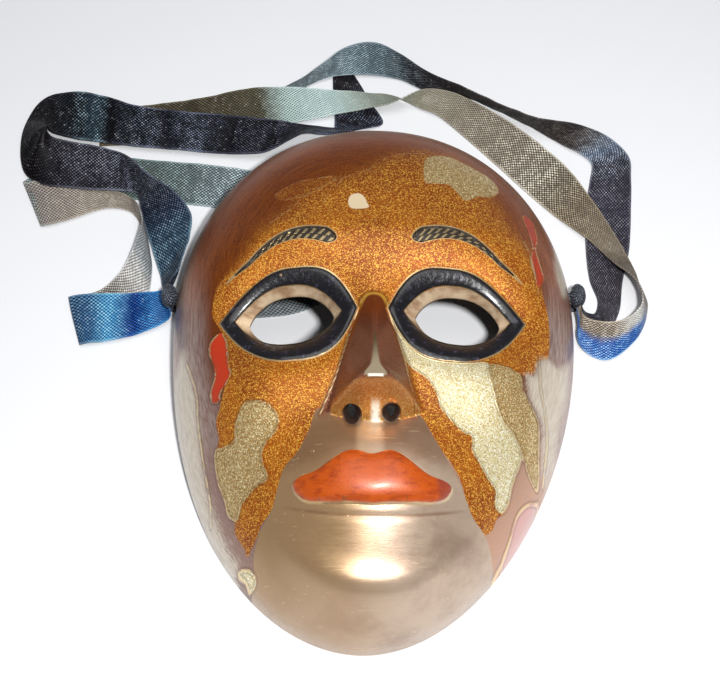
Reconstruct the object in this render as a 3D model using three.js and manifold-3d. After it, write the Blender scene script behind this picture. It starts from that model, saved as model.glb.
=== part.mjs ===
// A decorative brass face mask, lying face up on its rim, with the two satin ribbons
// that tie it on. Millimetres, +Z up out of the face, +Y towards the forehead.
//
// The face is a height above the rim plane, worked out at any point of the plan. The
// casting is that height closed downwards, with the nose, the lips and the raised eye
// rims joined to it, and then hollowed, pierced and filed.

import * as THREE from "three";
import { mergeVertices } from "three/addons/utils/BufferGeometryUtils.js";
import Module from "manifold-3d";

const wasm = await Module();
wasm.setup();

// Driving dimensions of the mask, in its own frame, with the origin on the rim plane.
const HALF_WIDTH = 65;
const WIDEST_Y = 20;
const TOP_LENGTH = 75;
const CHIN_LENGTH = 106;
const CHIN_LEAN = 3.5;
const TOP_ROUNDNESS = 2.1;
const CHIN_ROUNDNESS = 1.95;
const DEPTH = 43;
const DOME_POWERS = [2.5, 1 / 2.2];
const WALL = 2.7;

// The broad swells of the face, each a soft hill with its middle, spread and flank powers.
const FOREHEAD = { height: 2, x: 0, y: 34, across: 46, along: 9, powers: [2, 2] };
const CHEEKS = { height: 2.5, x: 38, y: -20, across: 15, along: 16, powers: [2, 2] };
const MUZZLE = { height: 7.5, x: 0, y: -47, across: 27, along: 17, powers: [3, 2.6] };
const CHIN = { height: 6, x: 0, y: -72, across: 27, along: 13, powers: [2.5, 2.2] };
const CHIN_BALL = { height: 3.4, x: 0, y: -76.5, across: 23, along: 5.5, powers: [4, 2], bend: 0.018 };
const SOCKETS = { depth: 8, x: 26, y: 9, across: 22, along: 15, power: 1.3 };
const CREASE = { depth: 1.1, y: -57.8, bend: 0.0075, half: 1.3, reach: 27 };

// The nose: a wedge with a narrow flat along its top, cut off by a sloping underside.
const NOSE = {
  rootY: 13, tipY: -22.6, baseY: -29.4, baseCurve: 2.8, wing: 13,
  height: 15.5, rootHalf: 3.8, spread: 9.2, underSlope: 2.5,
};
const NOSTRIL = { x: 5.6, middle: -1.1, y: -27.2, halfWidth: 2.9, halfHeight: 3.4, lean: 37 };

// Each eye has a raised rim between two almond outlines and a funnel down to the opening.
// An almond is [half width, rise, drop, outer exponent, inner exponent].
const EYES = [
  { side: -1, x: -26.3, y: 9.2 },
  { side: 1, x: 25.1, y: 8.8 },
];
const RIM_OUTER = [21, 14.4, 17.4, 2.0, 3.6];
const RIM_INNER = [16.2, 9.8, 10.2, 2.2, 2.6];
const EYE_OPENING = [11.5, 8.2, 8.4, 3.3, 3.5];
const FUNNEL_DEPTH = 2.9;
const RIM_PROUD = 1.0;
const SEAT = { thicker: 1.9, across: 21, along: 15, powers: [4, 4] };

// The lips: a low arch over a nearly flat line. Each side has its own fall of the upper edge,
// and its own climb of the lower edge towards the corner, steep at the very tip.
const LIPS = {
  x: -0.9, y: -47.1, half: 22.8, rise: 7.4, drop: 8, notch: 1.3, notchHalf: 0.13, bluntness: 14, tipPower: 8,
  left: { fall: 5.2, from: 0.25, to: 0.8, climb: 2, tip: 5.5 },
  right: { fall: 6.6, from: 0.2, to: 0.8, climb: 1.5, tip: 3 },
  edge: 0.8, swell: 2.2, fullness: 0.7, fullest: 0.62, thinning: 6, solidShare: 0.985,
};
const BROW = { start: 11.4, end: 45.8, y: 31.6, arch: 3.2, fall: 10, half: 3.0, depth: 0.9 };

// The ribbon holes, the notch filed under each, and the shallow arch filed at one temple.
const HOLE = { y: 31, z: 8, radius: 2.6 };
const NOTCH = { width: 7.5, height: 1.7 };
const ARCH = { from: 103, to: 147, ease: 8, height: 1.3 };

const RIBBON_THICKNESS = 0.5;
const BIGHT = { width: 3, thickness: 0.9, steps: 20 };
const KNOT = { out: 2.9, up: 0.4, along: 0.3, size: [2.6, 3.9, 4.2] };

// How finely the face is faceted, outside and inside: spokes from the middle, and hoops.
const OUTSIDE = { spokes: 56, hoops: 26 };
const INSIDE = { spokes: 40, hoops: 10 };
const EYE_STEPS = 26;
const STEPS_PER_STATION = 2;

const radians = THREE.MathUtils.degToRad;
const clamp = THREE.MathUtils.clamp;
const smoothstep = THREE.MathUtils.smoothstep;

// 1 on the rim, less inside it: two half ovals that meet at the widest line.
function ringNumber(x, y) {
  const dy = y - WIDEST_Y;
  const length = dy > 0 ? TOP_LENGTH : CHIN_LENGTH;
  const roundness = dy > 0 ? TOP_ROUNDNESS : CHIN_ROUNDNESS;
  const leant = x + CHIN_LEAN * smoothstep(-dy / CHIN_LENGTH, 0, 1);
  const sum = Math.abs(leant / HALF_WIDTH) ** roundness + Math.abs(dy / length) ** roundness;
  return sum ** (1 / roundness);
}

// A soft hill: its flanks are steeper the higher its powers.
function swell({ height, x, y, across, along, powers }, atX, atY) {
  const away = Math.abs((atX - x) / across) ** powers[0] + Math.abs((atY - y) / along) ** powers[1];
  return height * Math.exp(-away);
}

// The broad forms: dome, brow, eye sockets, cheeks, muzzle, chin and the crease over it.
function form(x, y) {
  const ring = Math.min(ringNumber(x, y), 1);
  const away = Math.abs(x);
  const socket = ((away - SOCKETS.x) / SOCKETS.across) ** 2 + ((y - SOCKETS.y) / SOCKETS.along) ** 2;
  const crease = ((y - CREASE.y - CREASE.bend * x * x) / CREASE.half) ** 2 + (x / CREASE.reach) ** 4;
  return DEPTH * (1 - ring ** DOME_POWERS[0]) ** DOME_POWERS[1]
    + swell(FOREHEAD, x, y)
    + swell(CHEEKS, away, y)
    + swell(MUZZLE, x, y)
    + swell(CHIN, x, y)
    + swell(CHIN_BALL, x, y - CHIN_BALL.bend * x * x)
    - SOCKETS.depth * Math.exp(-(socket ** SOCKETS.power))
    - CREASE.depth * Math.exp(-crease);
}

// 0 at the root of the nose and 1 at its tip.
function alongNose(y) {
  return clamp((NOSE.rootY - y) / (NOSE.rootY - NOSE.tipY), 0, 1.15);
}

// The line where the underside of the nose meets the lip; it rises towards the wings.
function noseBase(x) {
  return NOSE.baseY + NOSE.baseCurve * Math.min(Math.abs(x) / NOSE.wing, 1.3) ** 2;
}

// How far the nose stands over the broad forms. Its top is a flat that widens at the tip.
function noseHeight(x, y) {
  const along = alongNose(y);
  const ridge = 1 + NOSE.height * along ** 1.2;
  const half = NOSE.rootHalf + NOSE.spread * along;
  const flat = 0.2 + 2.1 * along ** 4 + 2.2 * smoothstep(along, 0.85, 1);
  const flank = (ridge * (half - Math.abs(x))) / (half - flat);
  const under = (y - noseBase(x)) * NOSE.underSlope;
  return Math.max(0, Math.min(ridge, flank, under, NOSE.rootY + 1 - y));
}

function face(x, y) {
  return form(x, y) + noseHeight(x, y);
}

// How far the rim is filed away at an angle round the widest line's middle.
function rimLift(degrees) {
  const start = smoothstep(degrees, ARCH.from, ARCH.from + ARCH.ease);
  const end = smoothstep(degrees, ARCH.to - ARCH.ease, ARCH.to);
  return ARCH.height * start * (1 - end);
}

// A solid from rings of points, each ring closed and the ends capped with a fan.
function solidFromRings(rings, closed = false) {
  const count = rings[0].length;
  const positions = rings.flat(2);
  const faces = [];
  const last = closed ? rings.length : rings.length - 1;
  for (let i = 0; i < last; i += 1) {
    const next = (i + 1) % rings.length;
    for (let j = 0; j < count; j += 1) {
      const a = i * count + j;
      const b = i * count + ((j + 1) % count);
      const c = next * count + j;
      const d = next * count + ((j + 1) % count);
      faces.push(a, b, d, a, d, c);
    }
  }
  if (!closed) {
    for (const [ring, flip] of [[0, true], [rings.length - 1, false]]) {
      const middle = new THREE.Vector3();
      for (const point of rings[ring]) middle.add(new THREE.Vector3(...point));
      middle.divideScalar(count);
      const centre = positions.length / 3;
      positions.push(middle.x, middle.y, middle.z);
      for (let j = 0; j < count; j += 1) {
        const a = ring * count + j;
        const b = ring * count + ((j + 1) % count);
        faces.push(centre, ...(flip ? [b, a] : [a, b]));
      }
    }
  }
  return manifoldFrom(positions, faces);
}

function manifoldFrom(positions, faces) {
  const geometry = new THREE.BufferGeometry();
  geometry.setAttribute("position", new THREE.Float32BufferAttribute(positions, 3));
  geometry.setIndex(faces);
  return manifoldOf(geometry);
}

// The library's solid for a closed geometry, with its shared vertices merged.
function manifoldOf(geometry) {
  const bare = geometry.clone();
  bare.deleteAttribute("normal");
  bare.deleteAttribute("uv");
  const merged = mergeVertices(bare, 1e-4);
  const mesh = new wasm.Mesh({
    numProp: 3,
    vertProperties: new Float32Array(merged.attributes.position.array),
    triVerts: new Uint32Array(merged.index.array),
  });
  const solid = new wasm.Manifold(mesh);
  return solid.volume() < 0 ? insideOut(mesh) : solid;
}

function insideOut(mesh) {
  const triVerts = mesh.triVerts.slice();
  for (let i = 0; i < triVerts.length; i += 3) {
    [triVerts[i], triVerts[i + 1]] = [triVerts[i + 1], triVerts[i]];
  }
  return new wasm.Manifold(new wasm.Mesh({ numProp: 3, vertProperties: mesh.vertProperties, triVerts }));
}

// A patch of height field: a grid of top points, dropped to make a block under it.
function blockUnder(rows, drop) {
  const rings = rows.map((row) => [
    ...row.map(([x, y, z]) => [x, y, z]),
    ...row.toReversed().map(([x, y]) => [x, y, form(x, y) - drop]),
  ]);
  return solidFromRings(rings);
}

// How far the rim lies from the face's own middle, in one direction.
const MIDDLE = [0, -28];
function reach(angle) {
  let near = 0;
  let far = 160;
  for (let i = 0; i < 40; i += 1) {
    const half = (near + far) / 2;
    const x = MIDDLE[0] + half * Math.cos(angle);
    const y = MIDDLE[1] + half * Math.sin(angle);
    if (ringNumber(x, y) < 1) near = half;
    else far = half;
  }
  return near;
}

// The face closed downwards. The inside is the same form, drawn in by the wall.
function domeSolid({ spokes, hoops }, inset, height, bottom) {
  const rings = [];
  for (let i = 1; i <= hoops; i += 1) {
    const share = Math.sin((Math.PI / 2) * (i / hoops) ** 0.9);
    const ring = [];
    for (let j = 0; j < spokes; j += 1) {
      const angle = (2 * Math.PI * j) / spokes;
      const out = reach(angle);
      const far = share * out;
      const x = MIDDLE[0] + far * Math.cos(angle);
      const y = MIDDLE[1] + far * Math.sin(angle);
      const scale = (out - inset) / out;
      const px = MIDDLE[0] + far * scale * Math.cos(angle);
      const py = MIDDLE[1] + far * scale * Math.sin(angle);
      ring.push([px, py, height(x, y, i === hoops)]);
    }
    rings.push(ring);
  }
  if (bottom !== undefined) rings.push(rings.at(-1).map(([x, y]) => [x, y, bottom]));
  return solidFromRings(rings);
}

function outerHeight(x, y, isRim) {
  if (!isRim) return form(x, y);
  const degrees = THREE.MathUtils.radToDeg(Math.atan2(y - WIDEST_Y, x));
  return rimLift(degrees < 0 ? degrees + 360 : degrees);
}

// The wall is thicker behind the eyes, where the funnels are cut, and the nose is hollow.
function innerHeight(x, y) {
  const seats = EYES.map((eye) => swell({ height: SEAT.thicker, x: eye.x, y: eye.y, ...SEAT }, x, y));
  const nose = Math.max(0, noseHeight(1.35 * x, y) - 3.5);
  return form(x, y) - WALL - seats[0] - seats[1] + nose;
}

// Rows run across the nose. From the tip down they fan out to the line of its underside,
// and the edges of the block are sunk into the face.
function noseSolid() {
  const sunk = 0.8;
  const shares = [-1.07, -1, -0.62, -0.25, 0, 0.25, 0.62, 1, 1.07];
  const upper = [14.5, 12.5, 9, 3, -4, -10, -15, -19, -21.5].map((y) => () => y);
  const lower = [0.04, 0.3, 0.6, 0.85, 1, 1.1].map((share) => (x) =>
    NOSE.tipY + (noseBase(x) - NOSE.tipY) * share);
  const rows = [...upper, ...lower].map((line) => shares.map((share) => {
    const half = NOSE.rootHalf + NOSE.spread * alongNose(line(0));
    const x = share * half;
    const y = line(x);
    const proud = noseHeight(x, y);
    const edge = Math.abs(share) > 1 || y > NOSE.rootY + 1 || y < noseBase(x) - 0.1;
    return [x, y, form(x, y) + (edge ? -sunk : proud)];
  }));
  return blockUnder(rows, 5);
}

// Lower and upper edge of the lips, share being -1 at the left corner and 1 at the right one.
function lipOutline(share) {
  const away = Math.abs(share);
  const notch = LIPS.notch * Math.exp(-((share / LIPS.notchHalf) ** 2));
  const side = share < 0 ? LIPS.left : LIPS.right;
  const upper = LIPS.y + LIPS.rise - side.fall * smoothstep(away, side.from, side.to) - notch;
  const lower = LIPS.y - LIPS.drop + side.climb * away + side.tip * away ** LIPS.tipPower;
  const middle = (upper + lower) / 2;
  const half = ((upper - lower) / 2) * Math.sqrt(1 - away ** LIPS.bluntness);
  return [middle - half, middle + half];
}

function lipsSolid() {
  const across = 16;
  const up = 6;
  const rows = [];
  for (let i = 0; i <= across; i += 1) {
    const share = LIPS.solidShare * Math.sin((Math.PI / 2) * ((2 * i) / across - 1));
    const [lower, upper] = lipOutline(share);
    const row = [];
    for (let j = 0; j <= up; j += 1) {
      const rise = j / up;
      const x = LIPS.x + LIPS.half * share;
      const y = lower + (upper - lower) * rise;
      const crown = Math.sin(Math.PI * rise ** LIPS.fullest) ** LIPS.fullness;
      const body = LIPS.swell * crown * (1 - share ** LIPS.thinning);
      row.push([x, y, form(x, y) + LIPS.edge + body]);
    }
    rows.push(row);
  }
  return blockUnder(rows, 5);
}

// A point of an almond outline round an eye; the inner corner is the one by the nose.
function almondPoint(eye, [half, rise, drop, outer, inner], turn) {
  const share = Math.cos(turn);
  const power = share * eye.side > 0 ? outer : inner;
  const body = 1 - Math.abs(share) ** power;
  const height = Math.sin(turn) >= 0 ? rise * body : -drop * body;
  return [eye.x + half * share, eye.y + height];
}

function eyeLoop(shape) {
  return (eye) => Array.from({ length: EYE_STEPS }, (_, i) =>
    almondPoint(eye, shape, (2 * Math.PI * i) / EYE_STEPS));
}

function eyeRimSolid(eye) {
  const outer = eyeLoop(RIM_OUTER)(eye);
  const inner = eyeLoop(RIM_INNER)(eye);
  const section = [[0, -3], [0, 0.15], [0.25, RIM_PROUD], [0.8, RIM_PROUD], [1, 0.4], [1, -3]];
  const rings = outer.map(([ox, oy], i) => section.map(([share, proud]) => {
    const x = ox + (inner[i][0] - ox) * share;
    const y = oy + (inner[i][1] - oy) * share;
    return [x, y, form(x, y) + proud];
  }));
  return solidFromRings(rings, true);
}

function eyeCutter(eye) {
  const wide = eyeLoop(RIM_INNER)(eye);
  const tight = eyeLoop(EYE_OPENING)(eye);
  const levels = [[1, -14], [1, -FUNNEL_DEPTH], [0, 0.1], [-0.5, 3]];
  const rings = levels.map(([share, proud]) => wide.map(([wx, wy], i) => {
    const x = wx + (tight[i][0] - wx) * share;
    const y = wy + (tight[i][1] - wy) * share;
    return [x, y, form(x, y) + proud];
  }));
  return solidFromRings(rings);
}

// A brow is a sunken leaf: blunt by the nose, drawn out to a point at the temple.
function browCutter(side) {
  const steps = 9;
  const rows = [];
  for (let i = 0; i <= steps; i += 1) {
    const share = i / steps;
    const x = side * (BROW.start + (BROW.end - BROW.start) * share);
    const middle = BROW.y + BROW.arch * Math.sin(Math.PI * Math.min(share * 1.25, 1))
      - BROW.fall * share ** 3;
    const half = Math.max(0.35, BROW.half * (1 - share) ** 0.7 * Math.min(1, share * 6 + 0.45));
    rows.push([-1, 0, 1].map((edge) => [x, middle + edge * half, 0]));
  }
  const rings = rows.map((row) => [
    ...row.map(([x, y]) => [x, y, form(x, y) + 3]),
    ...row.toReversed().map(([x, y]) => [x, y, form(x, y) - BROW.depth]),
  ]);
  return solidFromRings(rings);
}

function nostrilCutter(side) {
  const drill = new THREE.CylinderGeometry(1, 1, 22, 14);
  drill.rotateX(Math.PI / 2);
  drill.scale(NOSTRIL.halfWidth, NOSTRIL.halfHeight, 1);
  drill.rotateX(radians(NOSTRIL.lean));
  const x = NOSTRIL.middle + side * NOSTRIL.x;
  drill.translate(x, NOSTRIL.y, face(x, NOSTRIL.y) - 3);
  return manifoldOf(drill);
}

function ribbonHole(side) {
  const drill = new THREE.CylinderGeometry(HOLE.radius, HOLE.radius, 14, 14);
  drill.rotateZ(Math.PI / 2);
  drill.translate(side * (HALF_WIDTH - 2), HOLE.y, HOLE.z);
  return manifoldOf(drill);
}

function ribbonNotch(side) {
  const block = new THREE.BoxGeometry(14, NOTCH.width, 2 * NOTCH.height);
  block.translate(side * (HALF_WIDTH - 2), HOLE.y, 0);
  return manifoldOf(block);
}

function maskSolid() {
  const blocks = [noseSolid(), lipsSolid(), ...EYES.map(eyeRimSolid)];
  const inside = domeSolid(INSIDE, WALL, innerHeight, -12);
  const cuts = EYES.map(eyeCutter);
  for (const side of [-1, 1]) {
    cuts.push(browCutter(side), nostrilCutter(side), ribbonHole(side), ribbonNotch(side));
  }
  const solid = blocks.reduce((sum, block) => sum.add(block), domeSolid(OUTSIDE, 0, outerHeight));
  return cuts.reduce((sum, cut) => sum.subtract(cut), solid.subtract(inside));
}

// Each ribbon tail is ruled between its two selvedges. A station holds one point of each
// selvedge: x, y, z and x, y, z. The tails start at the knot outside the hole.
const BLUE_TAIL = [
  [-66.8, 34.2, 10.5, -66.8, 29.2, 7],
  [-69.5, 35.6, 5, -67.5, 26, 2.5],
  [-76, 36.4, 2, -76, 21.5, 1.4],
  [-86, 36.2, 1.6, -86, 18.6, 1.4],
  [-96, 36, 1.6, -93.4, 17.6, 1.5],
  [-101, 35.2, 1, -95.8, 17.2, 1],
  [-97, 36, 0.4, -91, 19.6, 0.4],
  [-90, 39, 0.4, -82, 24, 0.4],
  [-84, 46, 1.6, -75.6, 33, 0.5],
  [-79.5, 54, 6, -74.2, 44, 0.6],
  [-76.6, 61, 10, -74.8, 55, 0.8],
  [-77.6, 69, 10, -77.6, 64, 1],
  [-83, 77, 6, -82, 70, 1.2],
  [-92, 80, 2, -91, 71.5, 1.2],
  [-103, 81.5, 1.3, -102, 66.5, 1.2],
  [-114, 82, 1.3, -109, 64, 1.2],
  [-121.4, 81, 0.8, -113.6, 63.4, 0.8],
  [-115, 86, 0.3, -107, 69.6, 0.3],
  [-105, 91, 0.3, -99, 74.4, 0.3],
  [-89, 92, 0.3, -86, 74.6, 0.3],
  [-73, 90.4, 0.3, -72, 73.4, 0.3],
  [-57, 89, 0.3, -57.6, 71.6, 0.3],
  [-43, 86.6, 0.35, -46, 70, 0.35],
  [-27, 83, 0.35, -36, 67.6, 0.35],
  [-10, 73, 0.35, -26, 64, 0.35],
  [-3, 57, 0.35, -21, 56.6, 0.35],
  [-9, 40, 0.35, -24, 49, 0.35],
  [-24, 30, 0.35, -32, 46, 0.35],
  [-40, 27.6, 0.35, -42, 45, 0.35],
  [-52, 28, 0.35, -50, 44.4, 0.35],
];

const BLACK_TAIL = [
  [-66.8, 36, 11, -67, 30.5, 8],
  [-65.6, 42, 12.5, -69.2, 37, 2],
  [-65, 51, 14, -72.6, 48, 1.4],
  [-65.6, 60, 14, -76, 58, 1.6],
  [-70, 69, 13.5, -79, 67.6, 1.8],
  [-76.6, 77, 13, -81, 75.4, 2.6],
  [-84, 87, 8, -83.2, 76, 3],
  [-89, 92.4, 3.6, -87, 76.2, 3],
  [-98, 95.4, 3, -97, 77, 2.6],
  [-107, 97, 3.4, -106.4, 78.2, 2.2],
  [-112.4, 98, 5, -114.6, 80, 1.2],
  [-113.4, 98.6, 7.5, -121, 85, 0.9],
  [-113.4, 99.4, 9, -123.6, 96, 0.8],
  [-113.2, 100, 7.5, -122.4, 108, 1],
  [-111.6, 99.8, 4.6, -117, 117, 1.4],
  [-104, 98.4, 2.8, -106.4, 119.6, 1.9],
  [-95, 97.2, 2.3, -96, 117.6, 2.1],
  [-84, 95.6, 2.3, -84, 112.4, 3.4],
  [-68, 94, 2.3, -67, 109, 4.4],
  [-52, 92.4, 2.3, -50, 108.4, 2.8],
  [-37, 92, 4, -34, 106.4, 2.8],
  [-24, 97, 8, -20, 104.4, 1.8],
  [-14, 99.6, 4, 0, 104.6, 1],
  [-13.4, 106, 0.5, 3.8, 107, 0.5],
  [-13.8, 115, 0.3, -0.2, 115.4, 0.3],
  [-14.2, 124, 0.3, -4.4, 124.2, 0.3],
  [-14.2, 130.6, 0.3, -7.6, 130.6, 0.3],
];

const BROWN_TAIL = [
  [66.8, 33.6, 10.5, 66.8, 29, 7.5],
  [68, 25, 7.5, 67.4, 16.4, 1.6],
  [75, 23.4, 5.5, 75, 11.6, 0.9],
  [81.6, 23.6, 7, 82.4, 15.6, 0.9],
  [86.4, 26, 10.5, 88, 23, 1],
  [87, 31, 12.5, 90.6, 31.4, 1.2],
  [84.6, 38.6, 9.5, 89, 39, 1.6],
  [79.6, 47.6, 4, 86.2, 48.4, 2],
  [72.4, 57.6, 1.8, 80, 60.4, 5],
  [63.6, 66, 1, 74, 72.6, 5],
  [54.6, 75.6, 0.5, 67, 87, 2.4],
  [42.4, 89.6, 0.4, 51, 104.4, 1.6],
  [31.6, 101.6, 0.5, 38, 114, 2],
  [23.4, 109.6, 1.2, 28, 118.4, 3.4],
  [16.8, 113, 1, 18.4, 117.4, 6.4],
  [8.4, 117.4, 1.9, 9, 113, 5.4],
  [-2.4, 119.2, 1.9, 0, 111.4, 3.8],
  [-14.4, 120.6, 1.7, -12, 109.6, 2.2],
  [-30, 122, 1.5, -27.4, 106.4, 1.6],
  [-44, 121.6, 1.3, -42, 104.2, 1.3],
  [-60, 117.8, 0.9, -59.6, 100, 0.9],
  [-80, 114.4, 0.8, -79.6, 97.6, 0.8],
  [-96, 112.6, 0.8, -96, 96.6, 0.8],
];

const DARK_TAIL = [
  [67, 33, 8.5, 67, 29, 6],
  [69.2, 28.4, 4, 69.8, 23, 2],
  [72.8, 28.6, 1.2, 76, 21.6, 0.8],
  [74.4, 33.6, 0.4, 81, 29, 0.4],
  [72.4, 42, 0.4, 83.4, 41.4, 0.4],
  [72, 55, 0.4, 86.6, 53.6, 0.4],
  [73, 70, 0.4, 88.6, 69.4, 0.4],
  [75.4, 82, 0.5, 89.8, 83, 0.6],
  [76.4, 89, 1, 89.6, 91.4, 1.6],
  [73.6, 92.4, 1.2, 83, 98, 4],
  [66.6, 97.2, 0.9, 71.6, 101.6, 7],
  [57.4, 104, 0.8, 58.2, 103, 8.5],
  [45.6, 111.6, 0.8, 46, 108.8, 8],
  [33, 118, 0.8, 33.4, 116.4, 8],
  [21, 120, 0.8, 20, 125.4, 6],
  [10, 126, 0.7, 10, 135.4, 4],
  [1, 127.6, 1.2, 0.4, 140.6, 4],
  [-8, 127.6, 1.4, -9.6, 137.4, 5],
  [-16.4, 126.4, 1.2, -17, 130.4, 5.5],
  [-24, 122.6, 0.5, -24.6, 125.6, 3],
  [-32, 114, 0.3, -35, 121.4, 0.3],
  [-39, 108, 0.3, -45, 117.6, 0.3],
];

function tailSolid(stations) {
  const selvedge = (at) => new THREE.CatmullRomCurve3(
    stations.map((station) => new THREE.Vector3(...station.slice(at, at + 3))));
  const [first, second] = [selvedge(0), selvedge(3)];
  const steps = STEPS_PER_STATION * (stations.length - 1);
  const rings = [];
  for (let i = 0; i <= steps; i += 1) {
    const a = first.getPoint(i / steps);
    const b = second.getPoint(i / steps);
    const ahead = first.getTangent(i / steps).add(second.getTangent(i / steps));
    const lift = ahead.cross(b.clone().sub(a)).normalize().multiplyScalar(RIBBON_THICKNESS / 2);
    const corners = [a.clone().sub(lift), b.clone().sub(lift), b.clone().add(lift), a.clone().add(lift)];
    rings.push(corners.map((corner) => [corner.x, corner.y, Math.max(corner.z, 0)]));
  }
  return solidFromRings(rings);
}

// The bight of the ribbon: a flat band through the hole and round the rim's edge.
function bightSolid(side) {
  const band = [
    [2.6, 8], [-1, 8.2], [-5.4, 7.6], [-6.2, 4.6], [-5.4, 1.4], [-2, 0.75], [1.2, 0.75],
    [3, 2], [3.4, 5],
  ].map(([out, z]) => new THREE.Vector3(side * (HALF_WIDTH - 1 + out), HOLE.y, z));
  const path = new THREE.CatmullRomCurve3(band, true);
  const rings = [];
  for (let i = 0; i < BIGHT.steps; i += 1) {
    const at = path.getPoint(i / BIGHT.steps);
    const ahead = path.getTangent(i / BIGHT.steps);
    const inward = new THREE.Vector3(0, BIGHT.thickness / 2, 0).cross(ahead);
    rings.push([[-1, -1], [1, -1], [1, 1], [-1, 1]].map(([across, through]) => [
      at.x + inward.x * through, at.y + (BIGHT.width / 2) * across, at.z + inward.z * through,
    ]));
  }
  return solidFromRings(rings, true);
}

function knotSolid(side) {
  const lump = new THREE.SphereGeometry(1, 12, 8);
  lump.scale(...KNOT.size);
  lump.translate(side * (HALF_WIDTH + KNOT.out), HOLE.y + KNOT.along, HOLE.z + KNOT.up);
  return manifoldOf(lump);
}

function ribbonSolid(side, tails) {
  return tails.map(tailSolid).reduce((sum, tail) => sum.add(tail), bightSolid(side).add(knotSolid(side)));
}

function meshOf(name, solid, finish) {
  const { vertProperties, triVerts } = solid.getMesh();
  const geometry = new THREE.BufferGeometry();
  geometry.setAttribute("position", new THREE.BufferAttribute(vertProperties, 3));
  geometry.setIndex(new THREE.BufferAttribute(triVerts, 1));
  geometry.computeVertexNormals();
  const mesh = new THREE.Mesh(geometry, new THREE.MeshStandardMaterial(finish));
  mesh.name = name;
  return mesh;
}

const lacquer = { color: 0xb5721f, roughness: 0.35, metalness: 0.8 };
const blueSatin = { color: 0x2c4a68, roughness: 0.5, metalness: 0 };
const brownSatin = { color: 0x6d665c, roughness: 0.5, metalness: 0 };

const group = new THREE.Group();
group.add(meshOf("mask", maskSolid(), lacquer));
group.add(meshOf("left_ribbon", ribbonSolid(-1, [BLUE_TAIL, BLACK_TAIL]), blueSatin));
group.add(meshOf("right_ribbon", ribbonSolid(1, [BROWN_TAIL, DARK_TAIL]), brownSatin));

// The origin is moved to the middle of everything as it lies, on the surface under it.
const box = new THREE.Box3().setFromObject(group);
const middle = box.getCenter(new THREE.Vector3());
group.position.set(-middle.x, -middle.y, 0);

export default group;
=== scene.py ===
# %% [markdown]
# # A lacquered brass mask with satin ribbons
#
# The real object is a small hollow casting in brass, about 130 by 180 mm, lying face up
# on its rim. Parts of it are bare, brushed metal. The rest is filled with glossy lacquer:
# gold glitter, copper brown, black, orange. A satin ribbon is tied through each side.
#
# Everything below is worked out in millimetres in the mask's own plan, where x runs
# across the face and y towards the forehead, and is moved to the frame at the end.

import bpy
import numpy as np
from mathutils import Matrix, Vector
from mathutils.geometry import delaunay_2d_cdt


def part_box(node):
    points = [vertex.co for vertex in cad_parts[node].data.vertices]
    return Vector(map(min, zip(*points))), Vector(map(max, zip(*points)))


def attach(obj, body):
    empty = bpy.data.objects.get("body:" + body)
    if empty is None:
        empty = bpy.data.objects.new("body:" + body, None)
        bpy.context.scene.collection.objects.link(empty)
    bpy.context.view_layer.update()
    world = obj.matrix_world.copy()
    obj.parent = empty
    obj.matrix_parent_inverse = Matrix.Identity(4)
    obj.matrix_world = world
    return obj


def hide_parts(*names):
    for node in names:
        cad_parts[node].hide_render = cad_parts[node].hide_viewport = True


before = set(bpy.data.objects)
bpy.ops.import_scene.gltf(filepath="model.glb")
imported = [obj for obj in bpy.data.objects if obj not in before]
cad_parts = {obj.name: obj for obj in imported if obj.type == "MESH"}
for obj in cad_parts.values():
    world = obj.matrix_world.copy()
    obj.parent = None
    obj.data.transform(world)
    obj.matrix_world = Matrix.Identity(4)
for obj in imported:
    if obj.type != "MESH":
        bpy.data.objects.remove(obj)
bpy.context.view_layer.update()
scene = bpy.context.scene

# %% [markdown]
# The plan's origin lies on the rim's plane, 95 mm below the top of the forehead. The
# mask is as wide to the left as to the right, so its box gives the place of that origin.

# %% From the plan to the frame
TOP_OF_PLAN = 95.0
mask_low, mask_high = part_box("mask")
SHIFT = np.array([500 * (mask_low[0] + mask_high[0]), 1000 * mask_high[1] - TOP_OF_PLAN, 0.0])


def to_frame(points):
    """Millimetres in the plan to metres in the frame: add the shift, divide by a thousand."""
    return (np.asarray(points, float) + SHIFT) / 1000


print("shift of the plan, mm:", SHIFT.round(2))

# %% [markdown]
# The camera comes first. The photograph was taken from about half a metre, looking down
# at 62 degrees, so the nose and the near chin look a little larger than the forehead.

# %% Camera
CAMERA_ELEVATION = np.radians(62.0)
CAMERA_DISTANCE = 480.0
CAMERA_TARGET = np.array([-4.4, 16.0, 0.0])
FOCAL_PIXELS = 1470.0
FRAME_WIDTH_PIXELS = 720.0

toward_camera = np.array([0.0, -np.cos(CAMERA_ELEVATION), np.sin(CAMERA_ELEVATION)])
camera_place = CAMERA_TARGET + CAMERA_DISTANCE * toward_camera
camera = bpy.data.objects.new("camera", bpy.data.cameras.new("camera"))
camera.data.sensor_width = 36.0
camera.data.lens = camera.data.sensor_width * FOCAL_PIXELS / FRAME_WIDTH_PIXELS
camera.data.clip_start = 0.01
camera.location = to_frame(camera_place)
camera.rotation_euler = (np.pi / 2 - CAMERA_ELEVATION, 0, 0)
scene.collection.objects.link(camera)
scene.camera = camera
print("camera at", [round(v, 3) for v in camera.location])

# %% [markdown]
# ## The form of the face
#
# The face is a height over the plan. An egg-shaped dome carries soft hills for the
# forehead, the cheeks, the muzzle and the chin, and hollows for the eyes and the crease
# under the lip. The nose is a wedge set on it. Each is a formula, so any point of the
# plan can be asked for its height.

# %% Small helpers
def smoothstep(value, start, end):
    """0 before start, 1 after end, and an S-curve between: 3 t squared less 2 t cubed."""
    t = np.clip((value - start) / (end - start), 0, 1)
    return t * t * (3 - 2 * t)


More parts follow.
